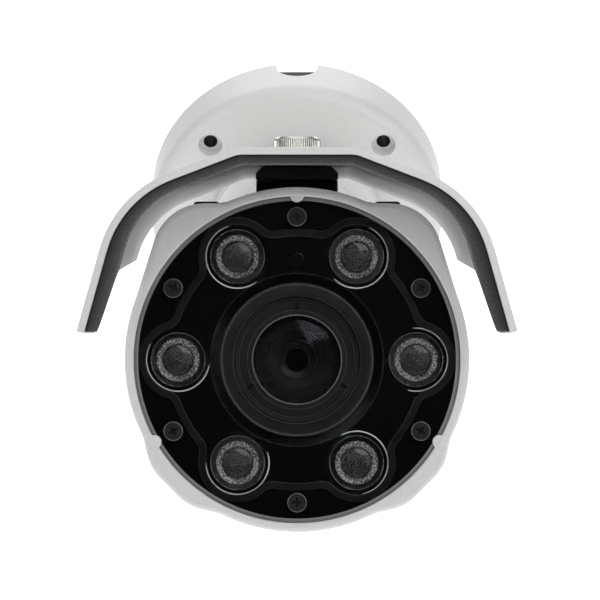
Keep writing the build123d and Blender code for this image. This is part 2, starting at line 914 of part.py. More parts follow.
def is_gasket_corner(vertex):
    return abs(hypot(vertex.X, vertex.Y) - gasket_dip_r) < gasket_line_width


def gasket_outline(plane, grow):
    """Round outline that swells around each lamp, with rounded inner corners."""
    with BuildSketch(plane) as outline:
        Circle(gasket_dip_r + grow)
        with PolarLocations(led_circle, led_count):
            Circle(gasket_line_r + grow)
        fillet(outline.vertices().filter_by(is_gasket_corner), gasket_dip_corner - grow)
    return outline.sketch


with BuildPart() as window_gasket:
    extrude(gasket_outline(lens.offset(mask_front), gasket_line_width / 2), amount=gasket_line_thick)
    extrude(
        gasket_outline(lens.offset(mask_front), -gasket_line_width / 2),
        amount=gasket_line_thick,
        mode=Mode.SUBTRACT,
    )
keep(window_gasket, "window_gasket")

# ================================================================ mask plate, lamps and photocell
led_places = PolarLocations(led_circle, led_count)
photocell_place = Locations((0, photocell_height))

with BuildPart() as mask_plate:
    disc(lens.offset(mask_back), mask_r, mask_thick)
    disc(lens.offset(mask_back - mask_depth), mask_skirt_r, mask_depth, bore=mask_inner_r)
    discs(
        lens.offset(mask_back - mask_boss_length),
        window_screw_places,
        mask_boss_r,
        mask_boss_length,
    )
    disc(lens.offset(mask_back), mask_opening_r, mask_thick, mode=Mode.SUBTRACT)
    discs(lens.offset(mask_back), led_places, led_well_r, mask_thick, mode=Mode.SUBTRACT)
    discs(lens.offset(mask_back), photocell_place, photocell_r + slip, mask_thick, mode=Mode.SUBTRACT)
    discs(
        lens.offset(mask_back - mask_boss_length),
        window_screw_places,
        window_screw_r,
        mask_boss_length + mask_thick,
        mode=Mode.SUBTRACT,
    )
keep(mask_plate, "mask_plate")

with BuildPart() as led_board:
    disc(lens.offset(led_board_back), mask_inner_r - slip, led_board_thick, bore=mask_opening_r + 1)
    discs(
        lens.offset(led_board_back),
        window_screw_places,
        mask_boss_r + slip,
        led_board_thick,
        mode=Mode.SUBTRACT,
    )
keep(led_board, "led_board")

with BuildPart() as led_emitters:
    with BuildSketch(lens.offset(led_board_front)):
        with led_places:
            Rectangle(emitter_size, emitter_size)
    extrude(amount=emitter_height)
    discs(lens.offset(led_board_front + emitter_height), led_places, emitter_size / 3, phosphor_height)
keep(led_emitters, "led_emitters")

with BuildPart() as led_lenses:
    rim_back = led_front - led_lens_rim
    discs(
        lens.offset(rim_back - led_lens_depth),
        led_places,
        led_lens_back_r,
        led_lens_depth,
        taper=-led_lens_taper,
    )
    discs(lens.offset(rim_back), led_places, led_lens_r, led_lens_rim)
    discs(
        lens.offset(rim_back - led_lens_depth),
        led_places,
        led_lens_hollow_r,
        led_lens_hollow,
        mode=Mode.SUBTRACT,
    )
keep(led_lenses, "led_lenses")

with BuildPart() as photocell:
    discs(lens.offset(led_board_front), photocell_place, photocell_r, photocell_length)
    fillet(photocell.faces().sort_by(lens_axis)[-1].edges(), photocell_edge_r)
keep(photocell, "photocell")

# ================================================================ lens
element_top = lens_front - retainer_thick - front_element_setback
element_seat = element_top - front_element_edge


def glass(seat, radius, edge, bulge):
    """Lens element: flat behind and domed in front."""
    dome_r = (radius**2 + bulge**2) / (2 * bulge)
    half_angle = asin(radius / dome_r) / 2
    with BuildSketch(lens_side) as section:
        with BuildLine():
            Polyline((0, seat), (radius, seat), (radius, seat + edge))
            ThreePointArc(
                (radius, seat + edge),
                (dome_r * sin(half_angle), seat + edge + bulge - dome_r * (1 - cos(half_angle))),
                (0, seat + edge + bulge),
            )
            Line((0, seat + edge + bulge), (0, seat))
        make_face()
    revolve(section.sketch, axis=lens_axis)


with BuildPart() as lens_barrel:
    turned(
        lens_side,
        lens_axis,
        (lens_bore_r, lens_back),
        (lens_spigot_r, lens_back),
        (lens_spigot_r, mount_front),
        (lens_body_r, mount_front),
        (lens_body_r, bell_start),
        (lens_bell_r, bell_start),
        (lens_bell_r, lens_front),
        (retainer_r, lens_front),
        (retainer_r, lens_front - retainer_thick),
        (front_element_r, lens_front - retainer_thick),
        (front_element_r, element_seat),
        (lens_bore_r, element_seat),
    )
keep(lens_barrel, "lens_barrel")

with BuildPart() as lens_retaining_ring:
    disc(
        lens.offset(lens_front - retainer_thick),
        retainer_r,
        retainer_thick,
        bore=front_element_r - retainer_overlap,
    )
    with BuildSketch(lens.offset(lens_front - retainer_thick)):
        with PolarLocations(retainer_slot_circle, retainer_slot_count, start_angle=90):
            Rectangle(retainer_slot_length, retainer_slot_width)
    extrude(amount=retainer_thick, mode=Mode.SUBTRACT)
keep(lens_retaining_ring, "lens_retaining_ring")

with BuildPart() as front_element:
    glass(element_seat, front_element_r, front_element_edge, front_element_bulge)
keep(front_element, "front_element")

with BuildPart() as inner_elements:
    glass(element_seat - inner_front_setback, lens_bore_r, inner_element_thick, inner_element_bulge)
    glass(lens_back + inner_rear_start, lens_bore_r, inner_element_thick, inner_element_bulge)
keep(inner_elements, "inner_elements")

with BuildPart() as lens_baffle:
    baffle_top = window_back - wear
    turned(
        lens_side,
        lens_axis,
        (lens_bell_r, lens_front - baffle_overlap),
        (lens_bell_r + baffle_wall, lens_front - baffle_overlap),
        (lens_bell_r + baffle_wall, baffle_top - 2 * baffle_lip),
        (baffle_lip_r, baffle_top - baffle_lip),
        (baffle_lip_r, baffle_top),
        (baffle_lip_r - baffle_lip_width, baffle_top),
        (lens_bell_r, baffle_top - 2 * baffle_lip),
    )
keep(lens_baffle, "lens_baffle")


def adjust_ring(start):
    """Ring that turns on the lens body, with a finger rib every 20 degrees."""
    disc(lens.offset(start), adjust_ring_r, adjust_ring_width, bore=lens_body_r + running)
    with BuildSketch(lens.offset(start)) as ribs:
        with PolarLocations(adjust_ring_r, adjust_rib_count, start_angle=180 / adjust_rib_count):
            Circle(adjust_rib_r)
    extrude(ribs.sketch, amount=adjust_ring_width)
    disc(
        above(start + adjust_ring_width / 2, lens_body_r + running),
        lever_r,
        adjust_ring_r,
        mode=Mode.SUBTRACT,
    )


def lever(start):
    """Small screw that stands out of an adjusting ring."""
    middle = start + adjust_ring_width / 2
    disc(above(middle, lens_body_r + gap), lever_r, adjust_ring_r - lens_body_r + lever_length)
    disc(above(middle, adjust_ring_r + lever_length), lever_head_r, lever_head)


with BuildPart() as zoom_ring:
    adjust_ring(mount_front + zoom_ring_start)
keep(zoom_ring, "zoom_ring")

with BuildPart() as zoom_lever:
    lever(mount_front + zoom_ring_start)
keep(zoom_lever, "zoom_lever")

with BuildPart() as focus_ring:
    adjust_ring(mount_front + focus_ring_start)
keep(focus_ring, "focus_ring")

with BuildPart() as focus_lever:
    lever(mount_front + focus_ring_start)
keep(focus_lever, "focus_lever")

with BuildPart() as lens_mount:
    disc(lens.offset(mount_back), mount_plate_r, mount_plate_thick, bore=lens_spigot_r)
keep(lens_mount, "lens_mount")

# ================================================================ filter, sensor and boards
with BuildPart() as filter_frame:
    block(lens.offset(frame_back), filter_frame_width, filter_frame_height, filter_frame_thick)
    block(
        lens.offset(frame_back),
        filter_width - 2 * filter_shoulder,
        filter_height - 2 * filter_shoulder,
        filter_frame_thick,
        mode=Mode.SUBTRACT,
    )
    channel_back = frame_back + (filter_frame_thick - filter_thick) / 2 - running
    block(
        lens.offset(channel_back),
        filter_width + filter_travel + 2 * gap,
        filter_height + 2 * running,
        filter_thick + 2 * running,
        centre=(filter_travel / 2, 0),
        mode=Mode.SUBTRACT,
    )
keep(filter_frame, "filter_frame")

with BuildPart() as ir_cut_filter:
    block(lens.offset(channel_back + running), filter_width, filter_height, filter_thick)
keep(ir_cut_filter, "ir_cut_filter")

with BuildPart() as image_sensor:
    block(lens.offset(sensor_board_front), sensor_width, sensor_height, sensor_thick)
    block(
        lens.offset(sensor_front - sensor_well),
        sensor_width - 2 * sensor_rim,
        sensor_height - 2 * sensor_rim,
        sensor_well,
        mode=Mode.SUBTRACT,
    )
keep(image_sensor, "image_sensor")

with BuildPart() as sensor_board:
    block(lens.offset(sensor_board_back), sensor_board_side, sensor_board_side, board_thick)
keep(sensor_board, "sensor_board")

with BuildPart() as sensor_posts:
    post_spacing = sensor_board_side - 3 * post_r
    discs(
        lens.offset(sensor_board_front),
        GridLocations(post_spacing, post_spacing, 2, 2),
        post_r,
        mount_back - sensor_board_front,
    )
keep(sensor_posts, "sensor_posts")

with BuildPart() as chassis:
    block(
        lens.offset(chassis_start),
        2 * chassis_half,
        chassis_sheet,
        chassis_length,
        centre=(0, -chassis_drop + chassis_sheet / 2),
    )
    block(lens.offset(mount_front), 2 * chassis_upright_half, 2 * chassis_drop, chassis_sheet)
    disc(lens.offset(mount_front), lens_body_r + gap, chassis_sheet, mode=Mode.SUBTRACT)
keep(chassis, "chassis")

board_middle = main_board_start + main_board_length / 2

with BuildPart() as main_board:
    block(above(board_middle, main_board_y), main_board_width, main_board_length, board_thick)
keep(main_board, "main_board")

with BuildPart() as power_board:
    block(above(board_middle, power_board_y), power_board_width, power_board_length, board_thick)
keep(power_board, "power_board")

with BuildPart() as board_posts:
    board_post_places = GridLocations(
        power_board_width - 3 * post_r,
        power_board_length - 3 * post_r,
        2,
        2,
    )
    discs(above(board_middle, chassis_top), board_post_places, post_r, main_board_lift)
    discs(above(board_middle, main_board_top), board_post_places, post_r, power_board_lift)
keep(board_posts, "board_posts")

with BuildPart() as processor:
    block(above(board_middle, main_board_top), processor_side, processor_side, processor_height)
    chamfer(processor.edges().filter_by(Axis((0, 0, 0), up_direction)), processor_chamfer)
keep(processor, "processor")

with BuildPart() as network_socket:
    socket_plane = above(main_board_start + socket_depth / 2 + socket_setback, main_board_top)
    block(socket_plane, socket_width, socket_depth, socket_height)
    block(
        socket_plane.offset(socket_wall),
        socket_width - 2 * socket_wall,
        socket_depth - 2 * socket_wall,
        socket_height - 2 * socket_wall,
        centre=(0, 2 * socket_wall),
        mode=Mode.SUBTRACT,
    )
keep(network_socket, "network_socket")

with BuildPart() as power_coils:
    discs(
        above(board_middle, power_board_y + board_thick),
        GridLocations(coil_spacing, 1, 2, 1),
        coil_r,
        coil_height,
    )
    fillet(power_coils.edges().filter_by(GeomType.CIRCLE), coil_edge_r)
keep(power_coils, "power_coils")

# ================================================================ rail, hood and thumb screw
with BuildPart() as rail_block:
    block(above(thumb_station, rail_floor), 2 * rail_half, rail_length, rail_top - rail_floor)
    block(
        above(thumb_station + (rail_length + rail_nose_length) / 2, rail_top - rail_nose_height),
        2 * rail_half,
        rail_nose_length,
        rail_nose_height,
    )
    rail_edges = rail_block.edges().filter_by(lens_axis).sort_by(Axis(pivot, up_direction))
    chamfer(rail_edges[-2:], rail_chamfer)
    block(
        above(thumb_station, rail_floor),
        rail_nut_side + 2 * slip,
        rail_nut_side + 2 * slip,
        rail_nut_height + gap,
        mode=Mode.SUBTRACT,
    )
    disc(above(thumb_station, rail_floor), thumb_shank_r + gap, rail_top, mode=Mode.SUBTRACT)
    discs(
        above(thumb_station, rail_floor),
        rail_screw_places,
        rail_screw_r + slip,
        rail_top,
        mode=Mode.SUBTRACT,
    )
    discs(
        above(thumb_station, rail_top - rail_screw_head),
        rail_screw_places,
        rail_screw_head_r + slip,
        rail_screw_head,
        mode=Mode.SUBTRACT,
    )
keep(rail_block, "rail_block")

with BuildPart() as rail_screws:
    discs(
        above(thumb_station, rail_top - rail_screw_head),
        rail_screw_places,
        rail_screw_head_r,
        rail_screw_head - screw_sink,
    )
    discs(
        above(thumb_station, rail_top - rail_screw_length),
        rail_screw_places,
        rail_screw_r,
        rail_screw_length - screw_spare,
    )
keep(rail_screws, "rail_screws")

with BuildPart() as rail_nut:
    block(above(thumb_station, rail_floor), rail_nut_side, rail_nut_side, rail_nut_height)
    disc(above(thumb_station, rail_floor), thumb_shank_r + running, rail_nut_height, mode=Mode.SUBTRACT)
keep(rail_nut, "rail_nut")


def trim_hood():
    """Cut the skirts to their lower edge, which drops to the tips of the lip."""
    with BuildSketch(lens_middle) as below:
        with BuildLine():
            FilletPolyline(
                (skirt_rear_y, hood_start - 1),
                (skirt_front_y, lip_start),
                (lip_tip_y, lip_end - lip_tip_depth),
                (lip_tip_y, lip_end + 1),
                (-2 * lip_tip_x, lip_end + 1),
                (-2 * lip_tip_x, hood_start - 1),
                radius=[0, trim_r, trim_r, 0, 0, 0],
                close=True,
            )
        make_face()
    extrude(below.sketch, amount=2 * lip_tip_x, both=True, mode=Mode.SUBTRACT)


with BuildPart() as hood_shell:
    extrude(hood_face(lens.offset(hood_start), lip_flare, lip_rise), amount=lip_start - hood_start)
    loft(
        [
            hood_face(lens.offset(lip_start), lip_flare, lip_rise),
            hood_face(lens.offset(lip_end), 0),
        ],
        ruled=True,
    )
    extrude(
        hood_face(lens.offset(hood_start), lip_flare + hood_sheet, lip_rise),
        amount=lip_start - hood_start,
        mode=Mode.SUBTRACT,
    )
    loft(
        [
            hood_face(lens.offset(lip_start), lip_flare + hood_sheet, lip_rise),
            hood_face(lens.offset(lip_end), hood_sheet),
        ],
        ruled=True,
        mode=Mode.SUBTRACT,
    )
    trim_hood()
    with BuildSketch(above(thumb_station, hood_inner_top - 1)):
        SlotOverall(slot_length, 2 * (thumb_shank_r + gap), rotation=90)
    extrude(amount=2 * hood_sheet, mode=Mode.SUBTRACT)
keep(hood_shell, "hood_shell")

with BuildPart() as glare_lining:
    loft(
        [
            hood_face(lens.offset(lip_start), lip_flare + hood_sheet, lip_rise),
            hood_face(lens.offset(lip_end), hood_sheet),
        ],
        ruled=True,
    )
    loft(
        [
            hood_face(lens.offset(lip_start), lip_flare + hood_sheet + lining_thick, lip_rise),
            hood_face(lens.offset(lip_end), hood_sheet + lining_thick),
        ],
        ruled=True,
        mode=Mode.SUBTRACT,
    )
    trim_hood()
keep(glare_lining, "glare_lining")

with BuildPart() as thumb_washer:
    disc(above(thumb_station, hood_top + wear), thumb_washer_r, thumb_washer_thick, bore=thumb_shank_r)
keep(thumb_washer, "thumb_washer")

with BuildPart() as thumb_screw:
    head_base = hood_top + wear + thumb_washer_thick
    disc(above(thumb_station, head_base), thumb_head_r, thumb_head_height)
    chamfer(thumb_screw.edges().filter_by(GeomType.CIRCLE), thumb_chamfer)
    discs(
        above(thumb_station, head_base),
        PolarLocations(thumb_head_r, thumb_knurls),
        thumb_knurl_r,
        thumb_head_height,
        mode=Mode.SUBTRACT,
    )
    disc(above(thumb_station, rail_floor + gap), thumb_shank_r, head_base - rail_floor)
keep(thumb_screw, "thumb_screw")
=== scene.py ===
# %% [markdown]
# # Infrared bullet camera on a wall bracket
# The engineering model gives every part's place, size and joint. This lesson builds the looks round it:
# painted castings, a folded sun hood, a glass window with infrared lamps behind it, and a zoom lens.
# Some parts are modelled from nothing, and others are careful copies of the engineering parts.

import json
import math

import bmesh
import bpy
from mathutils import Matrix, Vector

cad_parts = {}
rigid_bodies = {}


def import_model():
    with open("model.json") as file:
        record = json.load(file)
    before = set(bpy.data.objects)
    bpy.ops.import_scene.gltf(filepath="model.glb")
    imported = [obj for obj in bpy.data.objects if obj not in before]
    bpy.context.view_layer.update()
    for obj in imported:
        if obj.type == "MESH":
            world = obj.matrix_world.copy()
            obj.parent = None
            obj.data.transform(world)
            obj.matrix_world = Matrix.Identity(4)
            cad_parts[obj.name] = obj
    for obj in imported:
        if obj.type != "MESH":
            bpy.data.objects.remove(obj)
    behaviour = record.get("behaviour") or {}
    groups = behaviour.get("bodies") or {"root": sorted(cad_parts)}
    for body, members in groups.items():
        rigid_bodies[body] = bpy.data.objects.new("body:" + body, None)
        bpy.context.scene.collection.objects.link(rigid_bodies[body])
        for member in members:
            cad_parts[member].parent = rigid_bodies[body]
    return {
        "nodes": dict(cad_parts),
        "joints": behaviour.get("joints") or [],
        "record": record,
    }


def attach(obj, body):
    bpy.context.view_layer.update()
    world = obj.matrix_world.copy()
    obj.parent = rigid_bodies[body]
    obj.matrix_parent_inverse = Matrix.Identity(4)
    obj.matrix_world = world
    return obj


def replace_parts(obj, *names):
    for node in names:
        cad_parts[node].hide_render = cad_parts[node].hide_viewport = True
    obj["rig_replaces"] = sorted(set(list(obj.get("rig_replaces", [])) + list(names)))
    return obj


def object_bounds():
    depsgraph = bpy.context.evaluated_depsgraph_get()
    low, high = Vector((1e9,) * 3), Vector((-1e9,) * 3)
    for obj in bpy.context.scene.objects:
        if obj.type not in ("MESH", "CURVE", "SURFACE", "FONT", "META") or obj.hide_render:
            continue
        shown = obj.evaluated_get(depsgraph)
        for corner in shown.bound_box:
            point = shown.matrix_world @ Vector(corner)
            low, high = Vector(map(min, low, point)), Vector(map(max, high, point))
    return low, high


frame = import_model()
cad_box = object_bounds()
scene = bpy.context.scene
scene.view_settings.view_transform = "Standard"
mm = 0.001

# %% [markdown]
# The camera is stored tilted up on its bracket, so its own parts are easiest to draw in a frame that is
# tilted with it: X to the right, Y up across the lens and Z forward along the lens. The joints say
# where that frame is.

# %% Working frame
joints = {joint["name"]: joint for joint in frame["joints"]}
pivot = Vector(joints["tilt"]["pos_m"])
forward = Vector(joints["roll"]["axis"])
upward = Vector(joints["thumb_turn"]["axis"])
right = Vector((1, 0, 0))


def frame_matrix(x_axis, y_axis, z_axis, origin):
    """Matrix that takes a drawing's own X, Y and Z to places on the object."""
    matrix = Matrix((x_axis, y_axis, z_axis)).transposed().to_4x4()
    matrix.translation = origin
    return matrix


lens_frame = frame_matrix(right, upward, forward, pivot)


def span(node, axis=forward):
    """Nearest and furthest distance of a part along an axis from the pivot."""
    along = [(v.co - pivot).dot(axis) for v in frame["nodes"][node].data.vertices]
    return min(along), max(along)


bezel_back, bezel_front = span("front_bezel")
window_front = span("window")[1]
mask_front = span("mask_plate")[1]
hood_start, hood_end = span("hood_shell")
print("window is", round(window_front / mm, 1), "mm ahead of the pivot")

# %% [markdown]
# ## The viewer
# A long lens, far away and square to the window, keeps the rings round. The view is aimed a little above
# the window's middle, so that the hood and the wall base fit in the picture.

# %% Camera
view_distance = 1.8
view_width = 0.180
aim_up = 17.9 * mm
aim_right = 0.9 * mm
window_centre = pivot + forward * window_front
sight = bpy.data.cameras.new("viewer")
film_width = 36
sight.sensor_width = film_width
sight.lens = film_width * view_distance / view_width
sight.clip_end = 50
viewer = bpy.data.objects.new("viewer", sight)
scene.collection.objects.link(viewer)
viewer.location = window_centre + forward * view_distance
aim = window_centre + upward * aim_up + right * aim_right
viewer.rotation_euler = (aim - viewer.location).to_track_quat("-Z", "Y").to_euler()
scene.camera = viewer
print("lens", sight.lens, "mm")

# %% [markdown]
# ## Finishes
# Each finish starts from the real one: what the material is, and how its surface was made. One helper
# turns a printed colour into the linear numbers a shader needs, and one adds a node.

# %% Colour and node helpers


def linear(code):
    """Hex colour, as in a paint chart, turned to linear light."""
    values = [int(code[i : i + 2], 16) / 255 for i in (1, 3, 5)]
    flat = [v / 12.92 if v <= 0.04045 else ((v + 0.055) / 1.055) ** 2.4 for v in values]
    return (*flat, 1.0)


def add(tree, kind, settings=None, links=None):
    """Add a node, set its sockets or properties, and link sockets into it."""
    node = tree.nodes.new(kind)
    for key, value in (settings or {}).items():
        if key in node.inputs:
            node.inputs[key].default_value = value
        else:
            setattr(node, key, value)
    for key, source in (links or {}).items():
        tree.links.new(source, node.inputs[key])
    return node


def new_finish(name, settings):
    """A material whose shader has these constants. Returns the material, its tree and its shader."""
    finish = bpy.data.materials.new(name)
    finish.use_nodes = True
    tree = finish.node_tree
    shader = tree.nodes["Principled BSDF"]
    for key, value in settings.items():
        shader.inputs[key].default_value = value
    return finish, tree, shader


def grain(tree, shader, size, depth, strength=1.0, detail=4.0):
    """Fine relief with bumps of a real size and depth, in metres. Returns the noise value."""
    place = add(tree, "ShaderNodeTexCoord")
    noise = add(
        tree,
        "ShaderNodeTexNoise",
        {"Scale": 1 / size, "Detail": detail, "Roughness": 0.6},
        {"Vector": place.outputs["Object"]},
    )
    bump = add(
        tree,
        "ShaderNodeBump",
        {"Strength": strength, "Distance": depth},
        {"Height": noise.outputs["Fac"]},
    )
    tree.links.new(bump.outputs["Normal"], shader.inputs["Normal"])
    return noise.outputs["Fac"]


def tint(tree, shader, value, dark, light, low=0.35, high=0.65):
    """Colour that runs from dark to light as a value rises."""
    ramp = add(tree, "ShaderNodeValToRGB", links={"Fac": value})
    ramp.color_ramp.elements[0].position = low
    ramp.color_ramp.elements[0].color = linear(dark)
    ramp.color_ramp.elements[1].position = high
    ramp.color_ramp.elements[1].color = linear(light)
    tree.links.new(ramp.outputs["Color"], shader.inputs["Base Color"])


# %% [markdown]
# **Powder coat.** The castings and the hood are aluminium, sprayed with dry polyester powder and baked.
# The powder melts into a skin with a fine, even pebble about half a millimetre across, so highlights are
# broad and soft. The colour hardly changes over the surface.

# %% Powder coat on aluminium
pebble = 0.55 * mm
powder_coat, tree, shader = new_finish(
    "powder_coat_off_white",
    {"Roughness": 0.42, "IOR": 1.5, "Coat Weight": 0.08, "Coat Roughness": 0.3},
)
value = grain(tree, shader, pebble, 0.02 * mm, strength=0.4)
tint(tree, shader, value, "#d9d9d8", "#e2e2e1")
print(powder_coat.name)

# %% [markdown]
# ** Matte lining.** The inside of the hood's lip is dark so that it doesn't throw light into the lens.
# It reads as a coarse, grainy film with light specks. Its grey also runs from lighter at the lip's back to
# darker at its front edge, which is painted shade.

# %% Grainy dark lining
lining_finish, tree, shader = new_finish("flocked_lining_dark_grey", {"Roughness": 0.85, "IOR": 1.45})
value = grain(tree, shader, 0.7 * mm, 0.08 * mm, detail=3.0)
along = add(tree, "ShaderNodeUVMap", {"uv_map": "along"})
depth_in = add(tree, "ShaderNodeSeparateXYZ", links={"Vector": along.outputs["UV"]})
# painted shade: the lining's grey darkens from the lip's back to its front edge
painted_shade_ramp = add(tree, "ShaderNodeValToRGB", links={"Fac": depth_in.outputs["X"]})
painted_shade_ramp.color_ramp.elements[0].color = linear("#808080")
painted_shade_ramp.color_ramp.elements[1].color = linear("#181818")
painted_shade_ramp.color_ramp.elements.new(0.22).color = linear("#4c4c4c")
painted_shade_ramp.color_ramp.elements.new(0.75).color = linear("#2e2e2e")
specks = add(
    tree,
    "ShaderNodeMapRange",
    {"From Min": 0.36, "From Max": 0.64, "To Min": 0.45, "To Max": 1.7},
    {"Value": value},
)
film = add(
    tree,
    "ShaderNodeMix",
    {"data_type": "RGBA", "blend_type": "MULTIPLY", "Factor": 1.0},
    {6: painted_shade_ramp.outputs["Color"], 7: specks.outputs["Result"]},
)
tree.links.new(film.outputs[2], shader.inputs["Base Color"])

# %% [markdown]
# **Black mouldings and rubber.** The mask behind the window and the rail are injection moulded, with a
# spark-eroded grain. Seals and plugs are rubber, softer and duller.

# %% Mouldings and rubber


def plain_grained(name, dark, light, roughness, size, depth, **more):
    """A finish with one grain and two close colours."""
    settings = {"Roughness": roughness, "IOR": 1.5}
    settings.update(more)
    finish, tree, shader = new_finish(name, settings)
    tint(tree, shader, grain(tree, shader, size, depth), dark, light)
    return finish


black_abs = plain_grained(
    "moulded_abs_black", "#020203", "#040405", 0.2, 0.30 * mm, 0.002 * mm, **{"Specular IOR Level": 0.3}
)
rail_abs = plain_grained("moulded_nylon_black", "#0b0b0c", "#161617", 0.38, 0.40 * mm, 0.015 * mm)
rubber = plain_grained("moulded_rubber_black", "#0c0c0c", "#141414", 0.6, 0.50 * mm, 0.020 * mm)
# painted highlights: grey and pale finishes for thin rings that stand for light on turned edges
grey_edge_highlight = plain_grained("grey_painted_edge_highlight", "#4c4c4d", "#5c5c5d", 0.3, 0.3 * mm, 0.004 * mm)
pale_edge_highlight = plain_grained("pale_painted_edge_highlight", "#8a8a8b", "#a2a2a3", 0.25, 0.3 * mm, 0.004 * mm)
# painted highlight: a pale finish for the rings that stand for the arcs of light on the lamp wells' rims
arc_highlight_white = plain_grained(
    "pale_ring_painted_highlight", "#d2d2d2", "#e6e6e6", 0.2, 0.2 * mm, 0.002 * mm, Metallic=0.2
)
gasket_rubber = plain_grained("moulded_silicone_grey", "#0d0d0e", "#131314", 0.3, 0.60 * mm, 0.01 * mm)
chip_resin = plain_grained("moulded_epoxy_black", "#17171a", "#222226", 0.5, 0.20 * mm, 0.01 * mm)
board_green = plain_grained("glass_fibre_board_green", "#0d3a22", "#14492c", 0.4, 0.8 * mm, 0.01 * mm)
emitter_resin = plain_grained("cast_silicone_phosphor", "#b7a95c", "#c9bb6e", 0.35, 0.3 * mm, 0.01 * mm)

# %% [markdown]
# **Metals.** Screws are steel, the thumb screw is nickel plated, and the lens is turned aluminium with
# a black anodised skin. Turning leaves rings too fine to see one by one, so a gentle noise stands for
# them.

# %% Metals
zinc_steel = plain_grained(
    "zinc_plated_steel", "#8f9092", "#a9aaac", 0.32, 0.5 * mm, 0.006 * mm, Metallic=1.0
)
black_steel = plain_grained(
    "black_oxide_steel", "#2a2a2b", "#3a3a3b", 0.26, 0.3 * mm, 0.006 * mm, Metallic=0.4
)
nickel = plain_grained("nickel_plated_brass", "#b4b3ae", "#cbcac5", 0.22, 0.4 * mm, 0.004 * mm, Metallic=1.0)
anodised = plain_grained("anodised_aluminium_black", "#0c0c0d", "#161618", 0.3, 0.25 * mm, 0.008 * mm)
ring_anodised = plain_grained(
    "anodised_aluminium_satin_ring", "#1e1e20", "#2a2a2c", 0.28, 0.25 * mm, 0.008 * mm
)
bore_black = plain_grained("matt_black_anodised_bore", "#060607", "#0c0c0d", 0.5, 0.25 * mm, 0.004 * mm)
sheet_aluminium = plain_grained(
    "rolled_aluminium_sheet", "#a9aaac", "#bdbec0", 0.38, 0.7 * mm, 0.01 * mm, Metallic=1.0
)

# %% [markdown]
# **Glass.** The window is toughened clear glass, polished flat, with a ground bevel round its edge. A
# flat pane shifts what is behind it by less than a millimetre, so it is drawn as clear with a weak
# mirror, about as strong as both its faces reflect together. That also lets lamplight through to the
# parts behind. The ground bevel is a pale frosted grey. The lens elements are coated, so their mirror is
# weaker still.

# %% Glass
window_glass = new_finish(
    "toughened_glass_clear",
    {"Base Color": linear("#ffffff"), "Metallic": 1.0, "Roughness": 0.02, "Alpha": 0.045},
)[0]
ground_glass, tree, shader = new_finish("toughened_glass_ground_edge", {"Roughness": 0.45, "IOR": 1.5})
value = grain(tree, shader, 0.3 * mm, 0.01 * mm)
tint(tree, shader, value, "#868788", "#9a9b9c")
lens_glass = new_finish(
    "coated_optical_glass",
    {"Base Color": linear("#c9cfe4"), "Metallic": 1.0, "Roughness": 0.08, "Alpha": 0.02},
)[0]
dark_glass = new_finish(
    "smoked_polycarbonate",
    {"Base Color": linear("#050506"), "Roughness": 0.25, "IOR": 1.5, "Specular IOR Level": 0.15},
)[0]
print("finishes:", len(bpy.data.materials))

# %% [markdown]
# ** Lamp optics.** Each lamp has a moulded clear lens over it: a ring of fine prisms round a flat middle that shows a honeycomb of tiny lenses. Its colour is painted light: grey and pale rings across the radius paint the prisms' highlights and the groove's shade, bright noise specks paint their sparkle, and the honeycomb's cells are painted darker at their edges. The pattern follows the lens, so it reads the piece's own map, in which one unit is the lens's radius.

# %% Lamp optics
honeycomb = 0.075
lamp_optic, tree, shader = new_finish(
    "moulded_acrylic_optic",
    {"Roughness": 0.16, "IOR": 1.49, "Coat Weight": 0.6, "Coat Roughness": 0.03},
)
lamp_map = add(tree, "ShaderNodeUVMap", {"uv_map": "lamp"})
distance = add(tree, "ShaderNodeVectorMath", {"operation": "LENGTH"}, {0: lamp_map.outputs["UV"]})
cells = add(
    tree,
    "ShaderNodeTexVoronoi",
    {"Scale": 1 / honeycomb, "Randomness": 0.25, "feature": "DISTANCE_TO_EDGE"},
    {"Vector": lamp_map.outputs["UV"]},
)
specks = add(
    tree,
    "ShaderNodeTexNoise",
    {"Scale": 13.0, "Detail": 2.0, "Roughness": 0.9},
    {"Vector": lamp_map.outputs["UV"]},
)
# painted highlight and shade: grey and pale rings across the lens's radius
ring_light_ramp = add(tree, "ShaderNodeValToRGB", links={"Fac": distance.outputs["Value"]})
ring_light_stops = [(0.0, "#606060"), (0.30, "#5a5a5a"), (0.49, "#505050"), (0.52, "#161616"), (0.55, "#3a3a3a"),
         (0.58, "#747474"), (0.66, "#b0b0b0"), (0.76, "#9a9a9a"), (0.80, "#1a1a1a"), (0.94, "#1c1c1c"),
         (0.965, "#6a6a6a")]
ring_light_ramp.color_ramp.elements[0].color = linear(ring_light_stops[0][1])
ring_light_ramp.color_ramp.elements[1].position = 1.0
ring_light_ramp.color_ramp.elements[1].color = linear("#2a2a2a")
for position, code in ring_light_stops[1:]:
    ring_light_ramp.color_ramp.elements.new(position).color = linear(code)
# painted glints: bright specks from the noise
glint_ramp = add(tree, "ShaderNodeValToRGB", links={"Fac": specks.outputs["Fac"]})
glint_ramp.color_ramp.elements[0].position = 0.49
glint_ramp.color_ramp.elements[0].color = linear("#5c5c5c")
glint_ramp.color_ramp.elements[1].position = 0.58
glint_ramp.color_ramp.elements[1].color = linear("#ffffff")
blend = add(
    tree,
    "ShaderNodeMix",
    {"data_type": "RGBA", "blend_type": "MULTIPLY", "Factor": 1.0},
    {6: ring_light_ramp.outputs["Color"], 7: glint_ramp.outputs["Color"]},
)
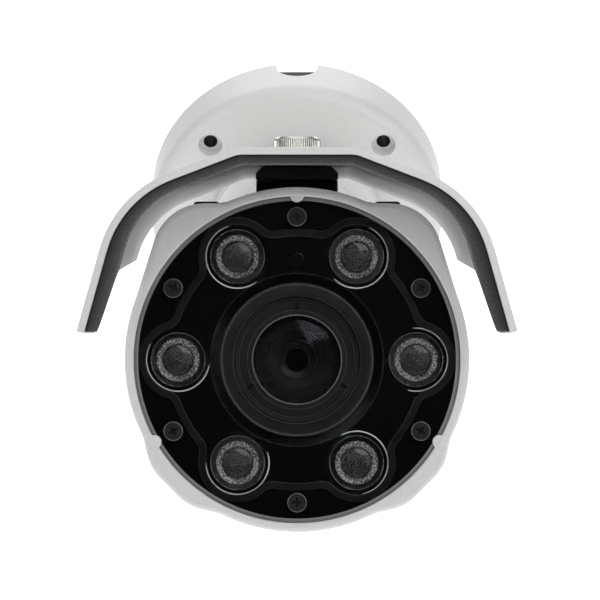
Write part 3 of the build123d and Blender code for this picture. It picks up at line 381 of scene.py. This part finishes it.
# painted shade: each honeycomb cell is darker at its edges
cell_shade = add(
    tree,
    "ShaderNodeMapRange",
    {"From Min": 0.0, "From Max": 0.4, "To Min": 0.6, "To Max": 1.15},
    {"Value": cells.outputs["Distance"]},
)
comb = add(
    tree,
    "ShaderNodeMix",
    {"data_type": "RGBA", "blend_type": "MULTIPLY", "Factor": 1.0},
    {6: blend.outputs[2], 7: cell_shade.outputs["Result"]},
)
tree.links.new(comb.outputs[2], shader.inputs["Base Color"])
relief = add(
    tree,
    "ShaderNodeBump",
    {"Strength": 0.9, "Distance": 0.15 * mm},
    {"Height": cells.outputs["Distance"]},
)
tree.links.new(relief.outputs["Normal"], shader.inputs["Normal"])
print(lamp_optic.name)

# %% [markdown]
# ## Making a piece
# A piece is drawn in one of the working frames with bmesh operators, then moved to its place inside its
# mesh, so that its object stays at the origin. Flat faces stay crisp and round ones are shaded smooth,
# by the angle between neighbours.

# %% Piece helpers
weld = 0.002 * mm


def finish_piece(bm, name, body, finish, place=lens_frame, smooth=32, replaces=()):
    """Turn a drawing into a piece of the object."""
    bmesh.ops.remove_doubles(bm, verts=bm.verts, dist=weld)
    bmesh.ops.recalc_face_normals(bm, faces=bm.faces)
    mesh = bpy.data.meshes.new(name)
    bm.to_mesh(mesh)
    bm.free()
    if "custom_normal" in mesh.attributes:
        mesh.attributes.remove(mesh.attributes["custom_normal"])
    mesh.transform(place)
    mesh.shade_smooth()
    mesh.set_sharp_from_angle(angle=math.radians(smooth))
    mesh.materials.append(finish)
    piece = bpy.data.objects.new(name, mesh)
    scene.collection.objects.link(piece)
    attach(piece, body)
    if replaces:
        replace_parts(piece, *replaces)
    return piece


def edge_round(piece, width, angle=35, segments=3):
    """Small rounding on a piece's crisp edges, which catches the light as real edges do."""
    modifier = piece.modifiers.new("edge_round", "BEVEL")
    modifier.width = width
    modifier.segments = segments
    modifier.limit_method = "ANGLE"
    modifier.angle_limit = math.radians(angle)
    modifier.harden_normals = True
    return piece


def turned(bm, profile, steps=128):
    """Spin a profile of (radius, height) points, in millimetres, round the drawing's Z axis."""
    points = [bm.verts.new((r * mm, 0, z * mm)) for r, z in profile]
    edges = [bm.edges.new(pair) for pair in zip(points, points[1:])]
    bmesh.ops.spin(
        bm,
        geom=points + edges,
        cent=(0, 0, 0),
        axis=(0, 0, 1),
        angle=math.tau,
        steps=steps,
        use_merge=True,
    )
    bmesh.ops.remove_doubles(bm, verts=bm.verts, dist=weld)


def polar_point(reach, degrees):
    """Point at a distance and a direction from the middle of a drawing."""
    return Vector((reach * math.cos(math.radians(degrees)), reach * math.sin(math.radians(degrees))))


body_of = {node: body for body, nodes in frame["record"]["behaviour"]["bodies"].items() for node in nodes}
slot_of = {row["node"]: row["material_slot"] for row in frame["record"]["subparts"]}


def refined(node, finish, rounding=0.0, smooth=30):
    """Copy of an engineering part, with joined triangles, smooth round faces and softened edges."""
    bm = bmesh.new()
    bm.from_mesh(frame["nodes"][node].data)
    bmesh.ops.remove_doubles(bm, verts=bm.verts, dist=weld / 2)
    piece = finish_piece(
        bm,
        node + "_look",
        body_of[node],
        finish,
        place=Matrix.Identity(4),
        smooth=smooth,
        replaces=[node],
    )
    if rounding:
        edge_round(piece, rounding * mm)
    return piece


# %% [markdown]
# ## Wall base, arm and housing
# These castings are already exact in the engineering model. A copy keeps their holes and recesses, and
# gets the rounded edges that powder paint leaves, because paint never builds a knife edge. The walls of
# the four screw holes get the black rubber finish, which paints the shade inside these deep holes.

# %% Castings
for node, rounding in (
    ("wall_base", 0.4),
    ("pan_arm", 0.5),
    ("tilt_knuckle", 0.4),
    ("rear_cap", 0.4),
    ("housing_tube", 0.4),
):
    refined(node, powder_coat, rounding)

base = bpy.data.objects["wall_base_look"]
# painted shade: the screw holes' walls get the black rubber finish
base.data.materials.append(rubber)
hole_circle, hole_r, hole_turns = 42.5 * mm, 2.5 * mm, (45, 135, 225, 315)
for face in base.data.polygons:
    for degrees in hole_turns:
        middle = polar_point(hole_circle, degrees)
        if (Vector((face.center.x, face.center.z)) - middle).length < hole_r:
            face.material_index = 1
print("castings done")

# %% [markdown]
# ## Front bezel
# The bezel is a ring that is round inside and lobed outside, with two cornered lobes above and two
# flatter ones below, where its screws sit. A lobe is a few straight lines in polar form, joined to each
# other and to the circle by a smooth maximum or minimum. One circle of points, extruded ring by ring,
# takes that outline where it is on the outside and a plain radius where it is inside.

# %% Lobed outline
rim_r = 51.8
shoulder, upper_tip, upper_tip_r = Vector((21.6, 47.08)), Vector((39.4, 46.8)), 16.0
lower_reach, lower_flat, lower_half, lower_tip_r = 54.9, 8.4, 18.3, 15.0
lower_middle = -45
root_soft = 0.3


def arc_between(before, tip, after, radius, steps=14):
    """Points of the arc that rounds a corner."""
    back, on = (before - tip).normalized(), (after - tip).normalized()
    half = back.angle(on) / 2
    centre = tip + (back + on).normalized() * (radius / math.sin(half))
    start = tip + back * (radius / math.tan(half)) - centre
    end = tip + on * (radius / math.tan(half)) - centre
    sweep = start.angle_signed(end)
    spin = [Matrix.Rotation(-sweep * i / steps, 2) for i in range(steps + 1)]
    return [centre + turn @ start for turn in spin]


tip_angle = math.degrees(math.atan2(upper_tip.y, upper_tip.x))
side_angle = tip_angle - math.degrees(math.acos(rim_r / upper_tip.length))
upper_lobe = [polar_point(rim_r, side_angle)]
upper_lobe += arc_between(upper_lobe[0], upper_tip, shoulder, upper_tip_r)
upper_lobe.append(shoulder)
corners = [
    polar_point(rim_r, lower_middle - lower_half),
    polar_point(lower_reach, lower_middle - lower_flat),
    polar_point(lower_reach, lower_middle + lower_flat),
    polar_point(rim_r, lower_middle + lower_half),
]
lower_lobe = [corners[0]]
lower_lobe += arc_between(corners[0], corners[1], corners[2], lower_tip_r)
lower_lobe += arc_between(corners[1], corners[2], corners[3], lower_tip_r)
lower_lobe.append(corners[3])


def lobed_reach(degrees):
    """Radius of the bezel's outline in one direction, in millimetres."""
    facing = polar_point(1, degrees)
    facing.x = abs(facing.x)
    reach = rim_r - 5
    for lobe in (upper_lobe, lower_lobe):
        for a, b in zip(lobe, lobe[1:]):
            if a.angle_signed(facing) * b.angle_signed(facing) > 0 or facing.dot(a) < 0:
                continue
            reach = (a.x * b.y - a.y * b.x) / (facing.x * (b - a).y - facing.y * (b - a).x)
    softened = root_soft * math.log(1 + math.exp((reach - rim_r) / root_soft))
    return rim_r + softened - root_soft * math.log(2) * math.exp(-abs(reach - rim_r))


print("lobes reach", [round(lobed_reach(a), 1) for a in (0, 50, 90, 180, 225)])

# %% Ringed shapes


def ringed(bm, rings, segments=288, close=False):
    """Extrude a circle through rings of (radius or outline, grow, height), in millimetres."""
    made = bmesh.ops.create_circle(bm, cap_ends=False, segments=segments, radius=1.0)
    verts = made["verts"]
    edges = list({e for v in verts for e in v.link_edges})
    first = edges
    for index, (outline, grow, height) in enumerate(rings):
        if index:
            ring = bmesh.ops.extrude_edge_only(bm, edges=edges)["geom"]
            verts = [g for g in ring if isinstance(g, bmesh.types.BMVert)]
            edges = [g for g in ring if isinstance(g, bmesh.types.BMEdge)]
            edges = [e for e in edges if e.verts[0] in set(verts) and e.verts[1] in set(verts)]
        for v in verts:
            degrees = math.degrees(math.atan2(v.co.y, v.co.x))
            reach = (outline(degrees) if callable(outline) else outline) + grow
            v.co = (*polar_point(reach * mm, degrees), height)
    if close:
        bmesh.ops.bridge_loops(bm, edges=first + edges)


# %% Bezel
bezel_edge, arc_steps = 1.9, 5
window_bore, bore_chamfer = 49.05, 0.35
inner_bore, ledge_drop = 46.4, 4.0
bezel = bmesh.new()
outer = [(lobed_reach, 0.0, bezel_back)]
for step in range(arc_steps + 1):
    bend = math.radians(90 * step / arc_steps)
    pull = -bezel_edge * (1 - math.cos(bend))
    outer.append((lobed_reach, pull, bezel_front - bezel_edge * mm * (1 - math.sin(bend))))
ledge = mask_front - ledge_drop * mm
inner = [
    (window_bore, bore_chamfer, bezel_front),
    (window_bore, 0.0, bezel_front - bore_chamfer * mm),
    (window_bore, 0.0, ledge),
    (inner_bore, 0.0, ledge),
    (inner_bore, 0.0, bezel_back),
]
ringed(bezel, outer + inner, close=True)
lug_r, lug_circle, lug_turns = 2.2, 49.5, (90, 210, 330)
lug_drop, lug_edge = 0.3, 0.4
for degrees in lug_turns:
    middle = (bezel_front + mask_front) / 2
    lug = bmesh.ops.create_cone(
        bezel,
        cap_ends=True,
        segments=40,
        radius1=lug_r * mm,
        radius2=lug_r * mm,
        depth=bezel_front - mask_front - lug_drop * mm,
        matrix=Matrix.Translation((*polar_point(lug_circle * mm, degrees), middle)),
    )
    rim = [e for v in lug["verts"] for e in v.link_edges]
    top = {e for e in rim if all(w.co.z > middle for w in e.verts)}
    bmesh.ops.bevel(
        bezel,
        geom=list(top),
        offset=lug_edge * mm,
        segments=3,
        profile=0.5,
        affect="EDGES",
        material=-1,
    )
finish_piece(bezel, "bezel_ring", "camera", powder_coat, replaces=["front_bezel"])
print("bezel from", round(bezel_back / mm, 1), "to", round(bezel_front / mm, 1))

# %% [markdown]
# ## Sun hood
# The hood is one folded aluminium sheet: a flat top, two sloping sides and long skirts, with large bends
# between them. Its front lip flares outwards and drops to two tips. A section is three lines and two
# arcs on each side. Every section along the hood is cut at the skirt's own height and shared out into
# the same number of points, which gives an even grid, and a thickness is added afterwards.

# %% Hood section
top_half, top_height = 18.0, 63.0
corner = Vector((54.0, 49.2))
root = Vector((70.5, -10.0))
crease_r, corner_r = 8.0, 34.0
lip_length, lip_flare, lip_rise = 18.0, 5.0, 3.0
lip_tip_depth = 12.0
tip_height, skirt_front, skirt_rear = 8.4, 27.0, 33.0
sheet = 2.2


def shifted(a, b, inset):
    """A line moved towards the hood's inside."""
    along = (b - a).normalized()
    normal = Vector((-along.y, along.x))
    if normal.dot(-a) < 0:
        normal = -normal
    return a + normal * inset, b + normal * inset


def crossing(one, two):
    """Point where two lines meet."""
    d, e = one[1] - one[0], two[1] - two[0]
    t = ((two[0].x - one[0].x) * e.y - (two[0].y - one[0].y) * e.x) / (d.x * e.y - d.y * e.x)
    return one[0] + d * t


def half_section(inset, rise):
    """Right half of the hood's section, from the top's middle to the root of the skirt."""
    lines = [
        shifted(Vector((0, top_height)), Vector((top_half, top_height)), inset),
        shifted(Vector((top_half, top_height)), corner, inset),
        shifted(corner, root, inset),
    ]
    crease, bend = crossing(lines[0], lines[1]), crossing(lines[1], lines[2])
    points = [lines[0][0]]
    points += arc_between(lines[0][0], crease, bend, crease_r - inset / 2, 6)
    points += arc_between(crease, bend, lines[2][1], corner_r - inset)
    points.append(lines[2][1])
    return [p + Vector((0, rise)) for p in points]


def cut_section(inset, rise, height, count):
    """The half section above a height, shared out into evenly spaced points."""
    points = half_section(inset, rise)
    kept = [points[0]]
    for a, b in zip(points, points[1:]):
        if b.y > height:
            kept.append(b)
            continue
        kept.append(a.lerp(b, (a.y - height) / (a.y - b.y)))
        break
    lengths = [0.0]
    for a, b in zip(kept, kept[1:]):
        lengths.append(lengths[-1] + (b - a).length)
    shared = []
    for i in range(count):
        want = lengths[-1] * i / (count - 1)
        k = max(j for j in range(len(kept) - 1) if lengths[j] <= want + 1e-9)
        part = (want - lengths[k]) / (lengths[k + 1] - lengths[k])
        shared.append(kept[k].lerp(kept[k + 1], min(part, 1.0)))
    return shared


lip_start = hood_end / mm - lip_length
print("half section has", len(half_section(0, 0)), "points")

# %% Hood sheet


def skirt_height(station):
    """Height of the skirt's lower edge at a station along the hood."""
    if station <= lip_start:
        share = (station - hood_start / mm) / (lip_start - hood_start / mm)
        return skirt_rear + (skirt_front - skirt_rear) * share
    share = min((station - lip_start) / (lip_length - lip_tip_depth), 1.0)
    eased = share * share * (3 - 2 * share)
    return skirt_front + (tip_height - skirt_front) * eased


def flare_at(station):
    """How much of the lip's flare is still to come: 1 behind the lip, 0 at its front edge."""
    return min(max((hood_end / mm - station) / lip_length, 0.0), 1.0)


def hood_grid(bm, stations, depth, count=64):
    """Skin at a depth below the hood's outer face, through stations along the lens."""
    layer = bm.loops.layers.uv.new("along")
    edges = None
    for station in stations:
        share = flare_at(station)
        half = cut_section(lip_flare * share + depth, lip_rise * share, skirt_height(station), count)
        line = [Vector((-p.x, p.y)) for p in reversed(half[1:])] + half
        if edges is None:
            verts = [bm.verts.new((p.x * mm, p.y * mm, station * mm)) for p in line]
            edges = [bm.edges.new(pair) for pair in zip(verts, verts[1:])]
            continue
        ring = bmesh.ops.extrude_edge_only(bm, edges=edges)["geom"]
        after = {v for v in ring if isinstance(v, bmesh.types.BMVert)}
        edges = [e for e in ring if isinstance(e, bmesh.types.BMEdge) and set(e.verts) <= after]
        follow = sorted(after, key=lambda v: v.co.x)
        for v, p in zip(follow, line):
            v.co = (p.x * mm, p.y * mm, station * mm)
    reach = stations[-1] - stations[0]
    for face in bm.faces:
        for loop in face.loops:
            loop[layer].uv = ((loop.vert.co.z / mm - stations[0]) / reach, 0.5)


rows = 24
back_length = lip_start - hood_start / mm
back_rows = [hood_start / mm + back_length * i / rows for i in range(rows + 1)]
lip_rows = [lip_start + lip_length * i / rows for i in range(1, rows + 1)]
hood = bmesh.new()
hood_grid(hood, back_rows + lip_rows, 0.0)
print("hood rows", len(back_rows + lip_rows))

# %% [markdown]
# **Slot for the thumb screw.** The hood slides because its thumb screw stands in a long slot. The slot's
# eight sides are cut through the skin one after another, and the faces between them are taken out.

# %% Slot
slot_half, slot_run = 2.8, 12.0
slot_side, slot_reach = 11.2, 24.0
slot_station = (Vector(joints["thumb_turn"]["pos_m"]) - pivot).dot(forward) / mm
slot_sides = []
for turn in range(0, 360, 45):
    out = Vector((math.cos(math.radians(turn)), 0, math.sin(math.radians(turn))))
    end = slot_run * (out.z > 0.1) - slot_run * (out.z < -0.1)
    slot_sides.append((out, (Vector((0, 0, slot_station + end)) + out * slot_half) * mm))
for out, edge in slot_sides:
    near = []
    for face in hood.faces:
        middle = face.calc_center_median()
        if abs(middle.x) < slot_side * mm and abs(middle.z - slot_station * mm) < slot_reach * mm:
            near.append(face)
    geometry = near + list({e for f in near for e in f.edges})
    geometry += list({v for f in near for v in f.verts})
    bmesh.ops.bisect_plane(hood, geom=geometry, plane_co=edge, plane_no=out)
opened = []
for face in hood.faces:
    middle = face.calc_center_median()
    if all((middle - edge).dot(out) < 0 for out, edge in slot_sides):
        opened.append(face)
bmesh.ops.delete(hood, geom=opened, context="FACES")
bmesh.ops.recalc_face_normals(hood, faces=hood.faces)
print("thumb screw slot faces opened:", len(opened))
hood_piece = finish_piece(
    hood, "sun_hood", "hood", powder_coat, replaces=["hood_shell"]
)
wall = hood_piece.modifiers.new("sheet", "SOLIDIFY")
wall.thickness = sheet * mm
wall.offset = -1
wall.use_even_offset = True
hood_edge = 0.8
edge_round(hood_piece, hood_edge * mm, angle=50)
print("hood", round(hood_start / mm, 1), "to", round(hood_end / mm, 1))

# %% Lining of the lip
lining_thick, lining_gap = 0.5, 0.05
lining_back, lining_front = 0.2, 0.4
lining = bmesh.new()
lining_rows = [lip_start + lining_back] + lip_rows[:-1] + [hood_end / mm - lining_front]
hood_grid(lining, lining_rows, sheet + lining_gap)
lining_piece = finish_piece(
    lining, "lip_lining", "hood", lining_finish, replaces=["glare_lining"]
)
film = lining_piece.modifiers.new("film", "SOLIDIFY")
film.thickness = lining_thick * mm
film.offset = -1
print("lining rows", len(lining_rows))

# %% [markdown]
# ## Window and what stands behind it
# The window keeps its exact engineering shape, with its bevel, screw holes and the notches for the
# bezel's lugs. Behind it lie the grey seal, the black mask with its round wells, and the screws.

# %% Window, mask and seal
pane = refined("window", window_glass)
pane.data.materials.append(ground_glass)
bevel_inner_r, least_lean, most_lean = 47.0, 0.3, 0.95
for face in pane.data.polygons:
    from_pivot = face.center - pivot
    out = from_pivot - forward * from_pivot.dot(forward)
    if least_lean < face.normal.dot(forward) < most_lean and out.length > bevel_inner_r * mm:
        face.material_index = 1
refined("mask_plate", black_abs, 0.15)
refined("window_gasket", gasket_rubber, 0.25)
refined("window_screws", black_steel, 0.12)
refined("photocell", dark_glass)
refined("front_seal", rubber)
refined("led_board", board_green)
refined("led_emitters", emitter_resin)
print("window front", round(window_front / mm, 1), "mask front", round(mask_front / mm, 1))

# %% [markdown]
# ** Screw rims.** The highlight on the turned edge of a screw's head is painted as a fine grey ring. Each
# is a narrow cone of faces round the head.

# %% Screw rims
screw_circle, screw_head, screw_steps = 42.9, 2.9, 48
rim_width, rim_rise = 0.25, 0.12
screw_rims = bmesh.new()
for turn in range(30, 360, 60):
    place = Matrix.Translation((*polar_point(screw_circle * mm, turn), window_front))
    made = bmesh.ops.create_circle(
        screw_rims, segments=screw_steps, radius=screw_head * mm, matrix=place
    )
    rim = list({e for v in made["verts"] for e in v.link_edges})
    grown = bmesh.ops.extrude_edge_only(screw_rims, edges=rim)["geom"]
    for v in (g for g in grown if isinstance(g, bmesh.types.BMVert)):
        v.co = place.translation + (v.co - place.translation) * (1 - rim_width / screw_head)
        v.co.z += rim_rise * mm
finish_piece(screw_rims, "screw_rim_highlights", "camera", grey_edge_highlight)
print("screw rims done")

# %% [markdown]
# ** Lamp lenses.** A lamp lens is turned: a flat rim, a groove, a sloping ring of prisms and a low dome
# in the middle. One is spun about its own middle, gets its map, and is then copied round the circle. A
# thin pale ring round each well paints the highlight on the well's rim. It leans a little, so it shows as an
# arc.

# %% Lamp lenses
lamp_circle, lamp_r, lamp_count = 35.8, 8.35, 6
lamp_profile = [
    (0.0, -1.30), (1.4, -1.34), (2.8, -1.46), (4.1, -1.66), (4.4, -1.80), (4.55, -2.00), (4.75, -1.70),
    (5.2, -1.45), (6.2, -0.95), (6.5, -0.85), (6.65, -1.25), (7.2, -1.25), (7.9, -1.20), (8.0, -0.35),
    (8.2, -0.25), (lamp_r, -0.40), (lamp_r, -2.3), (4.3, -8.3), (0.0, -8.3),
]


def six_round(bm):
    """Move a drawing out to the lamp circle and repeat it six times."""
    bmesh.ops.translate(bm, verts=bm.verts, vec=(lamp_circle * mm, 0, mask_front))
    one = bm.verts[:] + bm.edges[:] + bm.faces[:]
    for turn in range(1, lamp_count):
        copy = bmesh.ops.duplicate(bm, geom=one)["geom"]
        copied = [g for g in copy if isinstance(g, bmesh.types.BMVert)]
        spin = Matrix.Rotation(math.tau * turn / lamp_count, 3, "Z")
        bmesh.ops.rotate(bm, verts=copied, cent=(0, 0, 0), matrix=spin)


lamps = bmesh.new()
turned(lamps, lamp_profile, steps=72)
lamp_layer = lamps.loops.layers.uv.new("lamp")
for face in lamps.faces:
    for loop in face.loops:
        loop[lamp_layer].uv = (loop.vert.co.x / (lamp_r * mm), loop.vert.co.y / (lamp_r * mm))
six_round(lamps)
finish_piece(
    lamps, "lamp_lenses", "camera", lamp_optic, replaces=["led_lenses"], smooth=20
)
print("lamps:", lamp_count)

# %% [markdown]
# ** Highlight rings.** Each pale ring that paints a rim's highlight arc is spun, leant towards its own high side, and set round its lamp.

# %% Wire rings
arc_ring_circle, arc_ring_r, arc_ring_height, arc_ring_lean = 9.5, 0.2, -0.12, 2.4
arc_ring_sides = 12
high_sides = (-5, -35, 206, 250, 280, 20)
ring = []
for i in range(arc_ring_sides + 1):
    bend = math.tau * i / arc_ring_sides
    ring.append((arc_ring_circle + arc_ring_r * math.cos(bend), arc_ring_height + arc_ring_r * math.sin(bend)))
arc_rings = bmesh.new()
for lamp_turn, high_side in zip(range(0, 360, 60), high_sides):
    arc_ring = bmesh.new()
    turned(arc_ring, ring, steps=96)
    lean = Matrix.Rotation(math.radians(arc_ring_lean), 4, Vector((*polar_point(1, high_side - 90), 0)))
    place = Vector((*polar_point(lamp_circle * mm, lamp_turn), mask_front))
    arc_ring.transform(Matrix.Translation(place) @ lean)
    stored = bpy.data.meshes.new("arc_ring")
    arc_ring.to_mesh(stored)
    arc_ring.free()
    arc_rings.from_mesh(stored)
    bpy.data.meshes.remove(stored)
finish_piece(arc_rings, "lamp_highlight_arcs", "camera", arc_highlight_white, smooth=60)
print("wire rings:", len(high_sides))

# %% [markdown]
# ## The lens
# A zoom lens is a nest of turned rings. The rubber baffle stops lamp light reaching it from behind the
# window. Inside the retaining ring sits the domed front element, and behind that a row of stepped rings
# narrows to the iris.

# %% Lens barrel and front element
lens_back, lens_front = span("lens_barrel")
refined("lens_baffle", rubber, 0.15)
refined("lens_barrel", anodised, 0.15)
refined("lens_retaining_ring", ring_anodised, 0.15)
for node in ("zoom_ring", "focus_ring"):
    refined(node, anodised, 0.2)
element = bmesh.new()
element_r, element_bulge, element_edge = 13.9, 1.6, 5.0
element_seat = span("front_element")[0] / mm
dome_r = (element_r**2 + element_bulge**2) / (2 * element_bulge)
dome_middle = element_seat + element_edge + element_bulge - dome_r
dome_steps = 16
dome = []
for i in range(dome_steps + 1):
    r = element_r * i / dome_steps
    dome.append((r, dome_middle + math.sqrt(dome_r**2 - r * r)))
turned(element, dome + [(element_r, element_seat), (0.0, element_seat)])
finish_piece(
    element, "front_lens_element", "camera", lens_glass, replaces=["front_element"]
)
print("lens", round(lens_back / mm, 1), "to", round(lens_front / mm, 1))

# %% [markdown]
# ** Turned edges.** Every turned ring has a crisp edge that catches the light. That highlight is painted:
# each edge here is a thin ring of its own in a grey or pale finish, with its radius, height and width in
# millimetres.

# %% Turned edges


def edge_rings(name, finish, rings):
    """Thin half-round rings at (radius, height) places, in a light finish that paints the highlight of a
    turned edge.
    """
    bm = bmesh.new()
    for radius, height, width in rings:
        half = width / 2
        inner_foot, outer_foot = (radius - half, height), (radius + half, height)
        inner_top, outer_top = (radius - half / 2, height + half), (radius + half / 2, height + half)
        turned(bm, [inner_foot, inner_top, outer_top, outer_foot])
    return finish_piece(bm, name, "camera", finish, smooth=40)


front_mm = lens_front / mm
baffle_mm = span("lens_baffle")[1] / mm
edge_rings(
    "lens_edge_highlights",
    grey_edge_highlight,
    [
        (26.0, mask_front / mm, 0.12),
        (22.7, baffle_mm, 0.3),
        (19.3, front_mm, 0.3),
        (18.4, front_mm, 0.2),
        (17.5, front_mm, 0.2),
        (15.0, front_mm, 0.2),
    ],
)
edge_rings("lens_edge_highlight_pale", pale_edge_highlight, [(13.5, front_mm, 0.3)])
bore_gap = 0.3
bore_top = element_seat - bore_gap
edge_rings(
    "iris_edge_highlights",
    grey_edge_highlight,
    [(6.0, bore_top - 5.7, 0.25), (3.7, bore_top - 8.4, 0.25), (1.2, bore_top - 10.5, 0.5)],
)
print("turned edges done")

# %% Rings down to the iris
iris = bmesh.new()
turned(
    iris,
    [
        (8.9, bore_top), (8.9, bore_top - 2.0), (8.2, bore_top - 2.0), (8.2, bore_top - 4.0),
        (7.4, bore_top - 4.0), (7.4, bore_top - 6.0), (6.3, bore_top - 6.0), (6.1, bore_top - 5.7),
        (5.8, bore_top - 5.7), (5.6, bore_top - 6.0), (5.6, bore_top - 8.0), (3.9, bore_top - 8.6),
        (3.8, bore_top - 8.4), (3.6, bore_top - 8.4), (3.5, bore_top - 8.6), (3.4, bore_top - 10.5),
        (0.0, bore_top - 10.5),
    ],
)
finish_piece(iris, "iris_rings", "camera", bore_black, smooth=25)
print("iris is", round(lens_front / mm - bore_top + 10.5, 1), "mm deep")

# %% [markdown]
# ## Rail, thumb screw and small parts
# The thumb screw's head is knurled: its rim is a ring of small ridges that a finger can grip. The ridges
# come from a circle whose radius rises and falls.

# %% Thumb screw
thumb_place = Vector(joints["thumb_turn"]["pos_m"])
thumb_frame = frame_matrix(right, -forward, upward, thumb_place)
thumb_rise = (thumb_place - pivot).dot(upward)
head_low = span("thumb_washer", upward)[1] - thumb_rise
shank_low, head_high = (end - thumb_rise for end in span("thumb_screw", upward))
head_r, knurls, knurl_depth = 7.5, 60, 0.3
thumb = bmesh.new()


def knurled(degrees):
    """Radius of the head's ridged rim in one direction, in millimetres."""
    return head_r - knurl_depth * (0.5 + 0.5 * math.cos(math.radians(degrees * knurls)))


ringed(
    thumb,
    [
        (0.01, 0.0, head_high - 0.5 * mm),
        (3.6, 0.0, head_high - 0.5 * mm),
        (4.0, 0.0, head_high),
        (6.2, 0.0, head_high),
        (6.9, 0.0, head_high - 0.6 * mm),
        (knurled, 0.0, head_high - 1.2 * mm),
        (knurled, 0.0, head_low + 1.6 * mm),
        (6.8, 0.0, head_low + 1.0 * mm),
        (5.0, 0.0, head_low + 1.0 * mm),
        (5.0, 0.0, head_low),
        (2.5, 0.0, head_low),
        (2.5, 0.0, shank_low),
        (0.01, 0.0, shank_low),
    ],
    segments=knurls * 8,
)
finish_piece(
    thumb,
    "knurled_thumb_screw",
    "thumb",
    nickel,
    thumb_frame,
    replaces=["thumb_screw"],
)
refined("thumb_washer", nickel, 0.1)
refined("rail_block", rail_abs, 0.5)
print("thumb screw with", knurls, "ridges")

# %% [markdown]
# **Everything else.** Boards, screws, seals and the other small parts are exact already. Each gets the
# finish that belongs to its material.

# %% Everything else
finish_of_slot = {
    "black_plastic": black_abs,
    "black_rubber": rubber,
    "grey_gasket": gasket_rubber,
    "black_steel": black_steel,
    "steel": zinc_steel,
    "nickel": nickel,
    "black_anodised": anodised,
    "lens_glass": lens_glass,
    "circuit_board": board_green,
    "aluminium": sheet_aluminium,
    "component": chip_resin,
    "painted_housing": powder_coat,
    "emitter": emitter_resin,
}
replaced = {n for o in bpy.data.objects for n in o.get("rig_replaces", [])}
rest = [n for n in frame["nodes"] if n not in replaced]
for node in rest:
    refined(node, finish_of_slot[slot_of[node]])
print("small parts:", len(rest))

# %% [markdown]
# ## Studio
# The floor is a plain pale sheet well below the object, so shadows on it are faint. Large soft lights
# stand above, behind, high in front and at both sides. None stands near the line of sight, because the
# flat window would mirror it straight back.

# %% Floor
floor_drop = 0.45
floor_half = 12
floor_finish = new_finish(
    "seamless_paper_white",
    {
        "Roughness": 0.9,
        "Base Color": linear("#f7f7f7"),
        "Emission Color": linear("#ffffff"),
        "Emission Strength": 0.78,
    },
)[0]
floor_bm = bmesh.new()
bmesh.ops.create_grid(floor_bm, x_segments=1, y_segments=1, size=floor_half)
floor_mesh = bpy.data.meshes.new("floor")
floor_bm.to_mesh(floor_mesh)
floor_bm.free()
floor_mesh.materials.append(floor_finish)
floor = bpy.data.objects.new("floor", floor_mesh)
scene.collection.objects.link(floor)
floor.location.z = cad_box[0][2] - floor_drop
print("floor", floor_drop, "m below the object")

# %% Lights


def softbox(name, across, up, ahead, size, power):
    """Square soft light aimed at the window's middle, placed in metres from it."""
    lamp = bpy.data.lights.new(name, "AREA")
    lamp.shape = "SQUARE"
    lamp.size = size
    lamp.energy = power
    light = bpy.data.objects.new(name, lamp)
    scene.collection.objects.link(light)
    light.location = window_centre + right * across + upward * up + forward * ahead
    light.rotation_euler = (window_centre - light.location).to_track_quat("-Z", "Y").to_euler()


softbox("overhead", 0.0, 1.5, 0.1, 1.6, 11)
softbox("behind", 0.0, 1.0, -1.2, 1.2, 11)
softbox("high_front", 0.5, 1.0, 1.6, 1.2, 13)
softbox("left", -1.5, 0.45, 0.9, 1.2, 11)
softbox("right", 1.5, 0.45, 0.9, 1.2, 9)
world = bpy.data.worlds.new("studio")
scene.world = world
world.use_nodes = True
background = world.node_tree.nodes["Background"]
background.inputs["Color"].default_value = linear("#ffffff")
background.inputs["Strength"].default_value = 0.012
